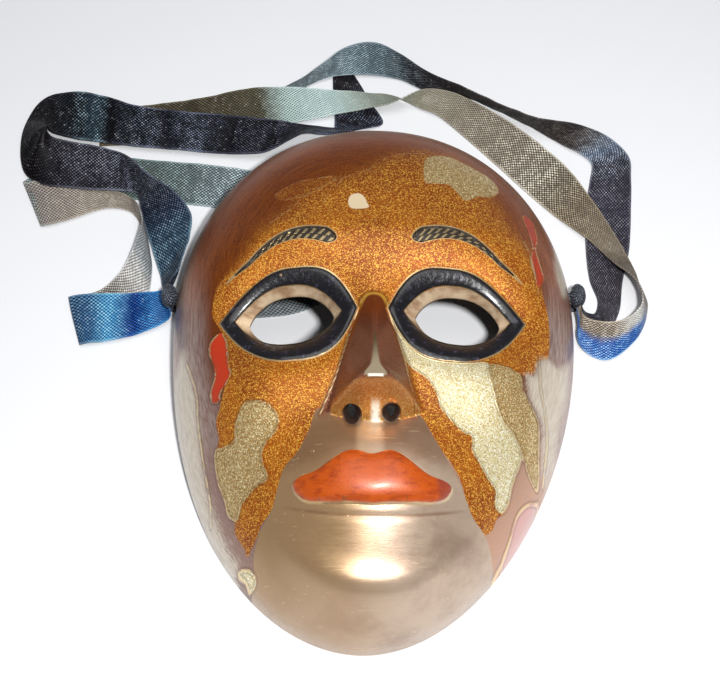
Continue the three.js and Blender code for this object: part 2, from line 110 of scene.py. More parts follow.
def smooth_min(a, b, reach):
    """The lower of a and b, with the crease between them rounded over about reach."""
    t = np.clip(0.5 + 0.5 * (b - a) / reach, 0, 1)
    return b + (a - b) * t - reach * t * (1 - t)


def smooth_max(a, b, reach):
    """The higher of a and b, with the corner between them filled over about reach."""
    return -smooth_min(-a, -b, reach)


def swell(x, y, height, middle, spread, powers=(2, 2)):
    """A soft hill: height times e to minus the sum of the distances, each to its power."""
    across = np.abs((x - middle[0]) / spread[0]) ** powers[0]
    along = np.abs((y - middle[1]) / spread[1]) ** powers[1]
    return height * np.exp(-across - along)


# %% The dome and its hills
HALF_WIDTH = 65.0
WIDEST_Y = 20.0
TOP_LENGTH = 75.0
CHIN_LENGTH = 106.0
CHIN_LEAN = 3.5
TOP_ROUNDNESS = 2.1
CHIN_ROUNDNESS = 1.95
DEPTH = 43.0
WALL = 2.7
CREASE_Y, CREASE_BEND, CREASE_DEPTH, CREASE_HALF = -57.8, 0.0075, 0.35, 0.9


def ring_number(x, y):
    """1 on the rim and less inside: two half ovals that meet at the widest line."""
    dy = y - WIDEST_Y
    length = np.where(dy > 0, TOP_LENGTH, CHIN_LENGTH)
    roundness = np.where(dy > 0, TOP_ROUNDNESS, CHIN_ROUNDNESS)
    leant = x + CHIN_LEAN * smoothstep(-dy / CHIN_LENGTH, 0, 1)
    return (np.abs(leant / HALF_WIDTH) ** roundness + np.abs(dy / length) ** roundness) ** (1 / roundness)


def form(x, y):
    """The depth times (1 - ring^2.5)^(1/2.2), plus the hills, less the sockets and the crease.

    The hills are the brow, the cheeks, the muzzle, the chin and the roll over the chin.
    """
    ring = np.minimum(ring_number(x, y), 1)
    away = np.abs(x)
    dome = DEPTH * (1 - ring ** 2.5) ** (1 / 2.2)
    hills = (swell(x, y, 2, (0, 34), (46, 9))
             + swell(away, y, 2.5, (38, -20), (15, 16))
             + swell(x, y, 7.5, (0, -47), (27, 17), (3, 2.6))
             + swell(x, y, 6, (0, -72), (27, 13), (2.5, 2.2))
             + swell(x, y - 0.018 * x * x, 3.4, (0, -76.5), (23, 5.5), (4, 2)))
    socket = 8 * np.exp(-(((away - 26) / 22) ** 2 + ((y - 9) / 15) ** 2) ** 1.3)
    from_crease = y - CREASE_Y - CREASE_BEND * x * x
    crease = CREASE_DEPTH * np.exp(-(from_crease / CREASE_HALF) ** 2 - (x / 27) ** 4)
    return dome + hills - socket - crease


# %% The nose
NOSE_ROOT_Y = 13.0
NOSE_TIP_Y = -22.6
NOSE_BASE_Y = -29.4
NOSE_HALF_WIDTH = 13


def nose_base(x):
    """The line under the nose: it rises towards the wings as the square of the way out."""
    return NOSE_BASE_Y + 2.8 * np.minimum(np.abs(x) / NOSE_HALF_WIDTH, 1.3) ** 2


def down_the_nose(y):
    """The share of the way down the nose: 0 at its root, 1 at its tip, and 1.15 at most."""
    return np.clip((NOSE_ROOT_Y - y) / (NOSE_ROOT_Y - NOSE_TIP_Y), 0, 1.15)


def flat_half_width(along, widening, flare):
    """Half the flat front of the nose: it widens as the fourth power and flares at the tip."""
    return 0.2 + widening * along ** 4 + flare * smoothstep(along, 0.85, 1)


def nose_height(x, y):
    """The lowest of a ridge, two flanks and an underside, each rounded into the next."""
    along = down_the_nose(y)
    ridge = 1 + 15.5 * along ** 1.2
    half = 3.8 + 9.2 * along
    flat = flat_half_width(along, 2.1, 2.2)
    flank = ridge * (half - np.abs(x)) / (half - flat)
    under = (y - nose_base(x)) * 2.5
    height = smooth_min(smooth_min(ridge, flank, 0.5), under, 0.5)
    height = smooth_min(height, 0.9 * (NOSE_ROOT_Y + 1 - y), 1.0)
    fillet = 0.3 + 4.2 * np.exp(-(x / 3.6) ** 2) * smoothstep(-y, 20, 26)
    return smooth_max(height, 0, fillet)


def bare_face(x, y):
    """The broad forms with the nose on them."""
    return form(x, y) + nose_height(x, y)


tip_height = float(bare_face(np.array(0.0), np.array(NOSE_TIP_Y)))
print("nose tip stands", round(tip_height, 1), "mm over the rim")

# %% [markdown]
# ## The outlines
#
# Each eye is a black ring between two almonds, and a funnel down to a third almond, the
# opening. The lips and the brows have outlines of their own. An outline is a closed curve
# in the plan, and the mesh will have its points on it, which keeps every edge clean.

# %% Almonds round the eyes
# Each eye: its side, and its middle in the plan. Each almond: half its length, its rise,
# its drop, and the powers of its outer and its inner half.
EYES = {"left": (-1, -26.3, 9.2), "right": (1, 25.1, 8.8)}
RING_OUTER = (21.0, 14.4, 17.4, 2.0, 3.6)
RING_INNER = (16.2, 9.8, 10.2, 2.2, 2.6)
EYE_OPENING = (13.0, 8.4, 8.4, 2.4, 2.4)
OPENING_ROUNDNESS = 0.7
OPENING_SHIFT = {-1: 1.0, 1: 0.4}
EYE_POINTS = 150


def travelled(points):
    """How far along a curve of the plan each of its points is."""
    return np.concatenate([[0], np.cumsum(np.hypot(*np.diff(points, axis=0).T))])


def evenly(points, count):
    """The same closed curve with count points at equal steps of its length."""
    closed = np.vstack([points, points[:1]])
    length = travelled(closed)
    at = np.linspace(0, length[-1], count, endpoint=False)
    return np.stack([np.interp(at, length, closed[:, i]) for i in (0, 1)], 1)


def almond(eye, shape, turns, roundness=1.0):
    """x goes round as the cosine; y is rise (or drop) times 1 - |cosine| to a power.

    A roundness below 1 is a second power, over all of that, and blunts the corners.
    """
    side, middle_x, middle_y = eye
    half, rise, drop, outer_power, inner_power = shape
    share = np.cos(turns)
    power = np.where(share * side > 0, outer_power, inner_power)
    body = (1 - np.abs(share) ** power) ** roundness
    height = np.where(np.sin(turns) >= 0, rise, -drop) * body
    return np.stack([middle_x + half * share, middle_y + height], 1)


def even_turns(shape, count):
    """Turns whose almond points are equally far apart, with both corners kept."""
    dense = np.linspace(0, 2 * np.pi, 4001)
    length = travelled(almond((1, 0, 0), shape, dense))
    return np.interp(np.linspace(0, length[-1], count, endpoint=False), length, dense)


EYE_TURNS = even_turns(RING_OUTER, EYE_POINTS)


def eye_loop(eye, share):
    """0 is the ring's outer almond, 1 its inner one and 2 the opening; between is straight."""
    outer, inner = almond(eye, RING_OUTER, EYE_TURNS), almond(eye, RING_INNER, EYE_TURNS)
    tight = almond(eye, EYE_OPENING, EYE_TURNS, OPENING_ROUNDNESS) + (OPENING_SHIFT[eye[0]], 0)
    if share <= 1:
        return outer + (inner - outer) * share
    return inner + (tight - inner) * (share - 1)


# The ring's section: how far each loop stands over the form, in millimetres.
EYE_SECTION = {
    -0.16: 0.0, -0.08: 0.16, 0.0: 0.25, 0.05: 0.55, 0.14: 0.9, 0.26: 1.08, 0.42: 1.16, 0.6: 1.12,
    0.76: 1.02, 0.88: 0.84, 0.95: 0.62, 1.0: 0.42, 1.06: 0.1, 1.3: -0.75, 1.6: -1.75, 1.88: -2.6,
    2.0: -2.95,
}

# %% Lips
LIPS_X, LIPS_Y, LIPS_HALF = -0.9, -47.1, 22.8
LIPS_RISE, LIPS_DROP = 7.4, 8.0
# For the left and the right side: the fall of the upper edge and where it starts and ends,
# the climb of the lower edge towards the corner, and its last steep climb at the tip.
LIPS_LEFT, LIPS_RIGHT = (5.4, 0.25, 0.8, 1.6, 3.4), (6.6, 0.2, 0.8, 1.5, 3.0)


def lip_edges(share):
    """Lower and upper edge: a low arch over a flat line, closed at the corners by a round.

    The upper edge dips a little in its middle, where the two halves of the lip meet.
    """
    away = np.abs(share)
    fall, start, end, climb, tip = (np.where(share < 0, a, b) for a, b in zip(LIPS_LEFT, LIPS_RIGHT))
    dip = 1.3 * np.exp(-(share / 0.13) ** 2)
    upper = LIPS_Y + LIPS_RISE - fall * smoothstep(away, start, end) - dip
    lower = LIPS_Y - LIPS_DROP + climb * away + tip * away ** 8
    middle, half = (upper + lower) / 2, (upper - lower) / 2 * np.sqrt(1 - np.minimum(away, 1) ** 14)
    return middle - half, middle + half


def lip_outline(count):
    """Along the upper edge to the left corner and back along the lower one."""
    share = np.sin(np.linspace(np.pi / 2, -np.pi / 2, 400))
    lower, upper = lip_edges(share)
    x = LIPS_X + LIPS_HALF * share
    ring = np.concatenate([np.stack([x, upper], 1), np.stack([x, lower], 1)[::-1]])
    return evenly(ring, count)


# %% Brows
BROW_START, BROW_END, BROW_Y = 11.4, 45.8, 31.6
BROW_RISE, BROW_FALL, BROW_HALF = 3.2, 10, 3.0


def brow_line(share):
    """The middle of a brow: an arch, as half a sine, less a fall with the third power."""
    return BROW_Y + BROW_RISE * np.sin(np.pi * np.minimum(share * 1.25, 1)) - BROW_FALL * share ** 3


def brow_outline(side, count):
    """A leaf about a middle line that arches and then falls towards the temple."""
    share = np.linspace(0, 1, 200)
    middle = brow_line(share)
    half = BROW_HALF * (1 - share) ** 0.7 * np.minimum(1, np.sqrt(share / 0.09))
    x = BROW_START + (BROW_END - BROW_START) * share
    ring = np.concatenate([np.stack([x, middle + half], 1), np.stack([x, middle - half], 1)[::-1]])
    ring = evenly(ring, count)
    return ring if side > 0 else ring[::-1] * (-1, 1)


print("outlines ready:", EYE_POINTS, "points round each eye")

# %% [markdown]
# A signed distance says how far a point is inside a closed curve (more than 0) or outside
# it (less than 0). One such number per vertex makes an edge that stays sharp however
# close one looks, because it is read between the vertices too.

# %% Closed curves and signed distances
def smooth_curve(points, per_span=10, closed=True):
    """A Catmull-Rom curve through the points: each span is a cubic of four neighbours."""
    points = np.asarray(points, float)
    if closed:
        p = np.stack([np.roll(points, k, axis=0) for k in (1, 0, -1, -2)], 1)
    else:
        padded = np.vstack([2 * points[0] - points[1], points, 2 * points[-1] - points[-2]])
        p = np.stack([padded[k:len(points) - 1 + k] for k in range(4)], 1)
    t = (np.arange(per_span) / per_span)[None, :, None]
    a, b, c, d = (p[:, k:k + 1, :] for k in range(4))
    curve = 0.5 * (2 * b + (c - a) * t + (2 * a - 5 * b + 4 * c - d) * t ** 2
                   + (3 * b - a - 3 * c + d) * t ** 3)
    curve = curve.reshape(-1, points.shape[1])
    return curve if closed else np.vstack([curve, points[-1:]])


BLOCK = 4000


def segment_distance(points, starts, ends):
    """Distance from each point to the nearest of the straight pieces, in blocks."""
    best = np.full(len(points), np.inf)
    step = ends - starts
    square = np.maximum((step ** 2).sum(1), 1e-12)
    for first in range(0, len(points), BLOCK):
        block = points[first:first + BLOCK, None, :] - starts
        t = np.clip((block * step).sum(2) / square, 0, 1)
        gap = np.hypot(*np.moveaxis(block - t[..., None] * step, 2, 0))
        best[first:first + BLOCK] = gap.min(1)
    return best


def is_inside(points, ring):
    """Counts how often a line to the right of each point crosses the ring: odd is inside."""
    starts, ends = ring, np.roll(ring, -1, axis=0)
    inside = np.zeros(len(points), bool)
    for first in range(0, len(points), BLOCK):
        x, y = points[first:first + BLOCK, :1], points[first:first + BLOCK, 1:]
        spans = (starts[:, 1] > y) != (ends[:, 1] > y)
        slope = (ends[:, 0] - starts[:, 0]) / (ends[:, 1] - starts[:, 1] + 1e-12)
        crossing = x < starts[:, 0] + slope * (y - starts[:, 1])
        inside[first:first + BLOCK] = (spans & crossing).sum(1) % 2 == 1
    return inside


FAR = 6.0


def signed_distance(points, ring):
    """Distance to the ring, more than 0 inside it and less outside, kept within 6 mm."""
    low, high = ring.min(0) - FAR, ring.max(0) + FAR
    near = np.all((points > low) & (points < high), axis=1)
    result = np.full(len(points), -FAR)
    distance = segment_distance(points[near], ring, np.roll(ring, -1, axis=0))
    sign = np.where(is_inside(points[near], ring), 1, -1)
    result[near] = np.clip(sign * distance, -FAR, FAR)
    return result


# %% [markdown]
# ## The mesh of the casting
#
# A grid in the plan would be far too coarse where the side walls stand upright. So the
# plan is first spread out into a sheet, in which equal steps are about equal steps on the
# metal. The sheet is filled with points, finer where the carving is, the outlines are
# added as edges that must be kept, and a Delaunay triangulation joins them all.

# %% Spreading the plan into a sheet
MIDDLE = np.array([0.0, -28.0])
TABLE_ANGLES = np.linspace(-np.pi, np.pi, 2881)
HALVINGS = 40


def rim_distance(angles):
    """How far the rim is from the middle at each angle, by halving the gap again and again."""
    near, far = np.zeros_like(angles), np.full_like(angles, 160.0)
    for _ in range(HALVINGS):
        half = (near + far) / 2
        inside = ring_number(MIDDLE[0] + half * np.cos(angles), MIDDLE[1] + half * np.sin(angles)) < 1
        near, far = np.where(inside, half, near), np.where(inside, far, half)
    return near


TABLE_REACH = rim_distance(TABLE_ANGLES)
print("the rim is", TABLE_REACH.min().round(1), "to", TABLE_REACH.max().round(1), "mm from the middle")


def reach(offsets):
    """The same for any point, given from the middle, read from the table."""
    return np.interp(np.arctan2(offsets[:, 1], offsets[:, 0]), TABLE_ANGLES, TABLE_REACH)


def spread(plan):
    """Plan to sheet: a share of the way to the rim becomes its arc sine, over a right angle."""
    offsets = plan - MIDDLE
    out = reach(offsets)
    far = np.maximum(np.hypot(*offsets.T), 1e-9)
    share = np.clip(far / out, 0, 1)
    return offsets * (out * np.arcsin(share) * 2 / np.pi / far)[:, None]


def gather(sheet):
    """Sheet to plan: the sine of the share."""
    out = reach(sheet)
    far = np.maximum(np.hypot(*sheet.T), 1e-9)
    share = np.sin(np.clip(far / out, 0, 1) * np.pi / 2)
    return MIDDLE + sheet * (out * share / far)[:, None]


# %% Filling the sheet and joining it up
SHEET_LOW, SHEET_HIGH = np.array([-80.0, -100.0]), np.array([80.0, 135.0])
SHEET_MARGIN = 5.0


def hexagonal(spacing):
    """Rows of points over the whole sheet, every second row moved by half a step."""
    rows = np.arange(SHEET_LOW[1], SHEET_HIGH[1], spacing * np.sqrt(3) / 2)
    columns = np.arange(SHEET_LOW[0], SHEET_HIGH[0], spacing)
    x, y = np.meshgrid(columns, rows)
    x[::2] += spacing / 2
    return np.stack([x.ravel(), y.ravel()], 1)


def clear_of(points, taken, gap):
    """Keeps the points that are further than about gap from every taken point.

    The sheet is cut into square cells of half a gap. A taken point marks the cells round
    its own, and points in marked cells go.
    """
    cell = gap / 2
    low = SHEET_LOW - SHEET_MARGIN
    used = np.zeros(((SHEET_HIGH + SHEET_MARGIN - low) / cell).astype(int), bool)
    at = ((taken - low) / cell).astype(int)
    used[at[:, 0], at[:, 1]] = True
    grown = np.zeros_like(used)
    for i in range(-2, 3):
        for j in range(-2, 3):
            if i * i + j * j < 6:
                grown |= np.roll(used, (i, j), (0, 1))
    at = ((points - low) / cell).astype(int)
    return points[~grown[at[:, 0], at[:, 1]]]


def triangulate(fill, loops, holes):
    """Fill points and loops, all in the sheet, to triangles; those inside a hole are dropped."""
    points = np.vstack([*loops, fill])
    edges, start = [], 0
    for loop in loops:
        index = start + np.arange(len(loop))
        edges.append(np.stack([index, np.roll(index, -1)], 1))
        start += len(loop)
    edges = np.concatenate(edges).tolist()
    result = delaunay_2d_cdt([Vector(p) for p in points], edges, [], 0, 1e-7, True)
    origin = result[3]
    assert len(origin) == len(points), "two points of the sheet fell together"
    order = np.array([ids[0] for ids in origin])
    triangles = order[np.array(result[2])]
    centres = points[triangles].mean(1)
    keep = np.hypot(*centres.T) < reach(centres)
    for hole in holes:
        keep &= ~is_inside(centres, hole)
    return points, triangles[keep]


# %% [markdown]
# The holes go through the wall: two eyes, two nostrils that lean forward, and a ribbon
# hole at each side. Each has one loop on the outside and a matching loop on the inside. A
# drill would cut the mesh into slivers. So the loops are found first, and the mesh is then
# built on them.

# %% Heights of the inside, and the rim's filed places
HOLE_Y, HOLE_Z, HOLE_RADIUS = 31.0, 8.0, 2.6
# The arch lies between two angles of the rim and slopes over eight degrees at each.
ARCH_HEIGHT, ARCH_FROM, ARCH_TO, ARCH_SLOPE = 1.3, 103, 147, 8
NOTCH_HEIGHT, NOTCH_OUTER, NOTCH_INNER = 1.7, 4.2, 3.4


def rim_lift(x, y):
    """The rim is flat but for a shallow arch at one temple and a notch under each hole."""
    angle = np.degrees(np.arctan2(y - WIDEST_Y, x)) % 360
    arch = ARCH_HEIGHT * smoothstep(angle, ARCH_FROM, ARCH_FROM + ARCH_SLOPE)
    arch = arch * (1 - smoothstep(angle, ARCH_TO - ARCH_SLOPE, ARCH_TO))
    notch = NOTCH_HEIGHT * smoothstep(np.abs(y - HOLE_Y), NOTCH_OUTER, NOTCH_INNER)
    return np.maximum(arch, notch)


def inner_height(x, y):
    """The form less the wall, thicker behind the eyes and hollowed under the nose."""
    seats = sum(swell(x, y, 1.9, eye[1:], (21, 15), (4, 4)) for eye in EYES.values())
    nose = np.maximum(0, nose_height(1.35 * x, y) - 3.5)
    return form(x, y) - WALL - seats + nose


def inward(plan):
    """A point of the outside's plan to the inside's: drawn in by the wall."""
    offsets = plan - MIDDLE
    out = reach(offsets)[:, None]
    return MIDDLE + offsets * (out - WALL) / out


def outward(plan):
    """The opposite of inward."""
    offsets = plan - MIDDLE
    out = reach(offsets)[:, None]
    return MIDDLE + offsets * out / (out - WALL)


def inner_surface(plan_inside):
    """Height of the inside over its own plan."""
    x, y = outward(plan_inside).T
    return inner_height(x, y)


def inside_height(x, y):
    """The same, for the two numbers of the plan on their own."""
    return inner_surface(np.stack([x, y], 1))


# %% Loops of the nostrils and ribbon holes
NOSTRIL_LEAN = np.radians(37)
NOSTRIL_X, NOSTRIL_MIDDLE, NOSTRIL_Y = 5.6, -1.1, -27.2
NOSTRIL_HALF_WIDTH, NOSTRIL_HALF_HEIGHT = 2.9, 3.4
NOSTRIL_START = 3
DRILL_STEPS = np.linspace(-16, 12, 561)
# Where the side wall is looked for: from here out to just short of the rim, outside and in.
SIDE_FROM, SIDE_TO_OUTSIDE, SIDE_TO_INSIDE = 30.0, 64.9, 62.2


def nostril_loops(side, count=44):
    """Where a leaning oval drill meets the outside, and then the inside, of the nose."""
    turns = np.linspace(0, 2 * np.pi, count, endpoint=False)
    x = NOSTRIL_MIDDLE + side * NOSTRIL_X
    start = np.array([x, NOSTRIL_Y, bare_face(np.array(x), np.array(NOSTRIL_Y)) - NOSTRIL_START])
    across = np.outer(NOSTRIL_HALF_WIDTH * np.cos(turns), [1, 0, 0])
    up = np.outer(NOSTRIL_HALF_HEIGHT * np.sin(turns), [0, np.cos(NOSTRIL_LEAN), np.sin(NOSTRIL_LEAN)])
    ring = start + across + up
    axis = np.array([0, -np.sin(NOSTRIL_LEAN), np.cos(NOSTRIL_LEAN)])
    line = ring[:, None, :] + DRILL_STEPS[None, :, None] * axis
    over = line[..., 2] - bare_face(line[..., 0], line[..., 1]) > 0
    flat = line[..., :2].reshape(-1, 2)
    within = line[..., 2] - inner_surface(flat).reshape(over.shape) > 0
    last_under = over.shape[1] - 1 - np.argmax(~over[:, ::-1], axis=1)
    first_in = last_under - np.argmax(~within[np.arange(count)[:, None], np.maximum(
        last_under[:, None] - np.arange(over.shape[1]), 0)], axis=1)
    pick = np.arange(count)
    return line[pick, last_under, :2], line[pick, first_in]


def hole_loops(side, count=26):
    """A round drill across the face: x is found by halving where the form has its height."""
    turns = np.linspace(0, 2 * np.pi, count, endpoint=False)
    y, z = HOLE_Y + HOLE_RADIUS * np.cos(turns), HOLE_Z + HOLE_RADIUS * np.sin(turns)
    loops = []
    for height, limit in ((form, SIDE_TO_OUTSIDE), (inside_height, SIDE_TO_INSIDE)):
        near, far = np.full(count, SIDE_FROM), np.full(count, limit)
        for _ in range(HALVINGS):
            half = (near + far) / 2
            under = height(side * half, y) > z
            near, far = np.where(under, half, near), np.where(under, far, half)
        loops.append(np.stack([side * near, y], 1))
    return loops[0], np.column_stack([loops[1], z])


nostrils = {side: nostril_loops(side) for side in (-1, 1)}
ribbon_holes = {side: hole_loops(side) for side in (-1, 1)}
for side, (outer, inner) in nostrils.items():
    print("nostril", side, "outside y", outer[:, 1].min().round(1), "to", outer[:, 1].max().round(1))

# %% [markdown]
# On the outside the lips and the brows are added to the form by their signed distances,
# and the eye rings by the loops themselves, whose heights are set one loop at a time. The
# inside is plainer, as the back of a casting is: it has larger triangles and no carving.

# %% Relief of lips and brows
LIP_POINTS, BROW_POINTS = 300, 220
lips_ring = lip_outline(LIP_POINTS)
brow_rings = [brow_outline(side, BROW_POINTS) for side in (-1, 1)]
BROW_DEPTH = 0.9
LIP_EDGE, LIP_SWELL = 0.8, 2.2
print("lips and brows:", len(lips_ring), "and", BROW_POINTS, "points round each")


def lip_height(plan, distance):
    """A step at the outline, and over it a swell that is a sine from edge to edge.

    A power moves the sine's crest towards the lower lip, and another makes it fuller.
    """
    share = np.clip((plan[:, 0] - LIPS_X) / LIPS_HALF, -0.999, 0.999)
    lower, upper = lip_edges(share)
    rise = np.clip((plan[:, 1] - lower) / np.maximum(upper - lower, 0.1), 0, 1)
    body = LIP_SWELL * np.sin(np.pi * rise ** 0.62) ** 0.7 * (1 - share ** 6)
    return smoothstep(distance, -0.05, 0.4) * (LIP_EDGE + body)


def shifted(ring, distance):
    """The ring moved inwards along its normals, which are its directions turned left."""
    along = np.roll(ring, -1, axis=0) - np.roll(ring, 1, axis=0)
    along /= np.maximum(np.hypot(*along.T), 1e-9)[:, None]
    area = np.sum(ring[:, 0] * np.roll(ring[:, 1], -1) - ring[:, 1] * np.roll(ring[:, 0], -1))
    turn = 1 if area > 0 else -1
    return ring + turn * distance * np.stack([-along[:, 1], along[:, 0]], 1)


# %% Points and loops of the outside
FINE, COARSE, PLAIN = 0.43, 0.66, 1.7
LIP_STEP = 0.35
RIM_POINTS = 700
eye_shares = list(EYE_SECTION)
eye_loops = {name: [eye_loop(eye, share) for share in eye_shares] for name, eye in EYES.items()}
rim_angles = np.linspace(-np.pi, np.pi, RIM_POINTS, endpoint=False)
rim_loop = rim_distance(rim_angles)[:, None] * np.stack([np.cos(rim_angles), np.sin(rim_angles)], 1)

outer_loops = [rim_loop]
for name in EYES:
    outer_loops += [spread(loop) for loop in eye_loops[name]]
for ring in (lips_ring, shifted(lips_ring, LIP_STEP), *brow_rings):
    outer_loops.append(spread(ring))
small_holes = [spread(holes[side][0]) for side in (-1, 1) for holes in (nostrils, ribbon_holes)]
outer_loops += small_holes
outer_holes = [spread(eye_loops[name][-1]) for name in EYES] + small_holes


def wants_fine(sheet):
    """Round the eyes, on the brows, the nose and the lips the points lie closer."""
    x, y = gather(sheet).T
    near_eyes = sum(((x - e[1]) / 25) ** 2 + ((y - e[2]) / 19) ** 2 < 1 for e in EYES.values()) > 0
    near_brows = (np.abs(np.abs(x) - 29) < 20) & (np.abs(y - 30) < 8)
    near_nose = (np.abs(x) < 17) & (y > -34) & (y < 16)
    near_lips = ((x - LIPS_X) / 26) ** 2 + ((y - LIPS_Y) / 13) ** 2 < 1
    return near_eyes | near_brows | near_nose | near_lips


def fill_points(fine, coarse, loops, solid_rings):
    """Two grids, each kept where it is wanted, clear of the loops and of the rim."""
    parts = []
    for spacing, is_fine in ((fine, True), (coarse, False)):
        grid = hexagonal(spacing)
        grid = grid[np.hypot(*grid.T) < reach(grid) - 0.5 * spacing]
        grid = grid[wants_fine(grid) == is_fine]
        parts.append(clear_of(grid, np.vstack(loops), 0.62 * spacing))
    points = np.vstack(parts)
    for ring in solid_rings:
        points = points[~is_inside(points, ring)]
    return points


eye_outer_rings = [spread(eye_loops[name][0]) for name in EYES]
outer_fill = fill_points(FINE, COARSE, outer_loops, eye_outer_rings + small_holes)
outer_sheet, outer_triangles = triangulate(outer_fill, outer_loops, outer_holes)
print("outside:", len(outer_sheet), "points,", len(outer_triangles), "triangles")

# %% Heights of the outside
outer_plan = gather(outer_sheet)
outer_x, outer_y = outer_plan.T
lip_distance = signed_distance(outer_plan, lips_ring)
brow_distance = np.maximum(*(signed_distance(outer_plan, ring) for ring in brow_rings))
outer_z = bare_face(outer_x, outer_y) + lip_height(outer_plan, lip_distance)
outer_z -= BROW_DEPTH * smoothstep(brow_distance, -0.02, 0.45)
rim_count = len(rim_loop)
outer_z[:rim_count] = rim_lift(outer_x[:rim_count], outer_y[:rim_count])

# Which loop of the eye each vertex is on; -1 is off the eyes.
eye_share = np.full(len(outer_plan), -1.0)
start = rim_count
for name in EYES:
    for share in eye_shares:
        stop = start + EYE_POINTS
        eye_share[start:stop] = share
        outer_z[start:stop] = form(outer_x[start:stop], outer_y[start:stop]) + EYE_SECTION[share]
        start = stop
print("the face is", outer_z.max().round(1), "mm high")

# %% Inside, and the walls between
NOSTRIL_TAPER = 0.4
inner_loops = [rim_loop]
for name in EYES:
    inner_loops.append(spread(outward(eye_loops[name][-1])))
for side in (-1, 1):
    narrow = nostrils[side][1][:, :2]
    narrow = narrow.mean(0) + NOSTRIL_TAPER * (narrow - narrow.mean(0))
    inner_loops.append(spread(outward(narrow)))
    inner_loops.append(spread(outward(ribbon_holes[side][1][:, :2])))
inner_fill = fill_points(PLAIN, PLAIN, inner_loops, inner_loops[1:])
inner_sheet, inner_triangles = triangulate(inner_fill, inner_loops, inner_loops[1:])
inner_outside_plan = gather(inner_sheet)
inner_plan = inward(inner_outside_plan)
inner_z = np.maximum(inner_height(*inner_outside_plan.T), rim_lift(*inner_outside_plan.T))
inner_z[:rim_count] = rim_lift(*inner_outside_plan[:rim_count].T)


def loop_starts(loops):
    """The number of each loop's first point, when they are stored one after another."""
    return np.concatenate([[0], np.cumsum([len(loop) for loop in loops])])[:-1]


def bridge(first, second, count):
    """The wall between two loops of equal count, as triangles: two for each step round."""
    i = np.arange(count)
    j = (i + 1) % count
    return np.vstack([np.stack([first + i, second + i, first + j], 1),
                      np.stack([first + j, second + i, second + j], 1)])


outer_starts, inner_starts = loop_starts(outer_loops), loop_starts(inner_loops)
inner_offset = len(outer_plan)
per_eye = len(eye_shares)
after_eyes = 1 + 2 * per_eye + 4
# Each pair is a loop of the outside, its fellow on the inside, and their count of points.
pairs = [(0, 0, rim_count), (per_eye, 1, EYE_POINTS), (2 * per_eye, 2, EYE_POINTS)]
pairs += [(after_eyes + k, 3 + k, len(inner_loops[3 + k])) for k in range(4)]
walls = [bridge(outer_starts[a], inner_offset + inner_starts[b], n) for a, b, n in pairs]
walls = [walls[0]] + [w[:, ::-1] for w in walls[1:]]

vertices = np.vstack([np.column_stack([outer_plan, outer_z]), np.column_stack([inner_plan, inner_z])])
inner_faces = inner_triangles[:, ::-1] + inner_offset
faces = np.vstack([outer_triangles, inner_faces, *walls])
print("the casting:", len(vertices), "vertices,", len(faces), "triangles")


# %% From arrays to an object
def add_mesh(name, points_mm, polygons, sharp_degrees):
    """A mesh object at the origin, its points in metres, shaded smooth but for its edges."""
    mesh = bpy.data.meshes.new(name)
    mesh.from_pydata(to_frame(points_mm).tolist(), [], polygons.tolist())
    mesh.update()
    mesh.shade_smooth()
    mesh.set_sharp_from_angle(angle=np.radians(sharp_degrees))
    obj = bpy.data.objects.new(name, mesh)
    scene.collection.objects.link(obj)
    return obj


mask = add_mesh("brass_mask", vertices, faces, 40)
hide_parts("mask")
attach(mask, "root")
print("made", mask.name)
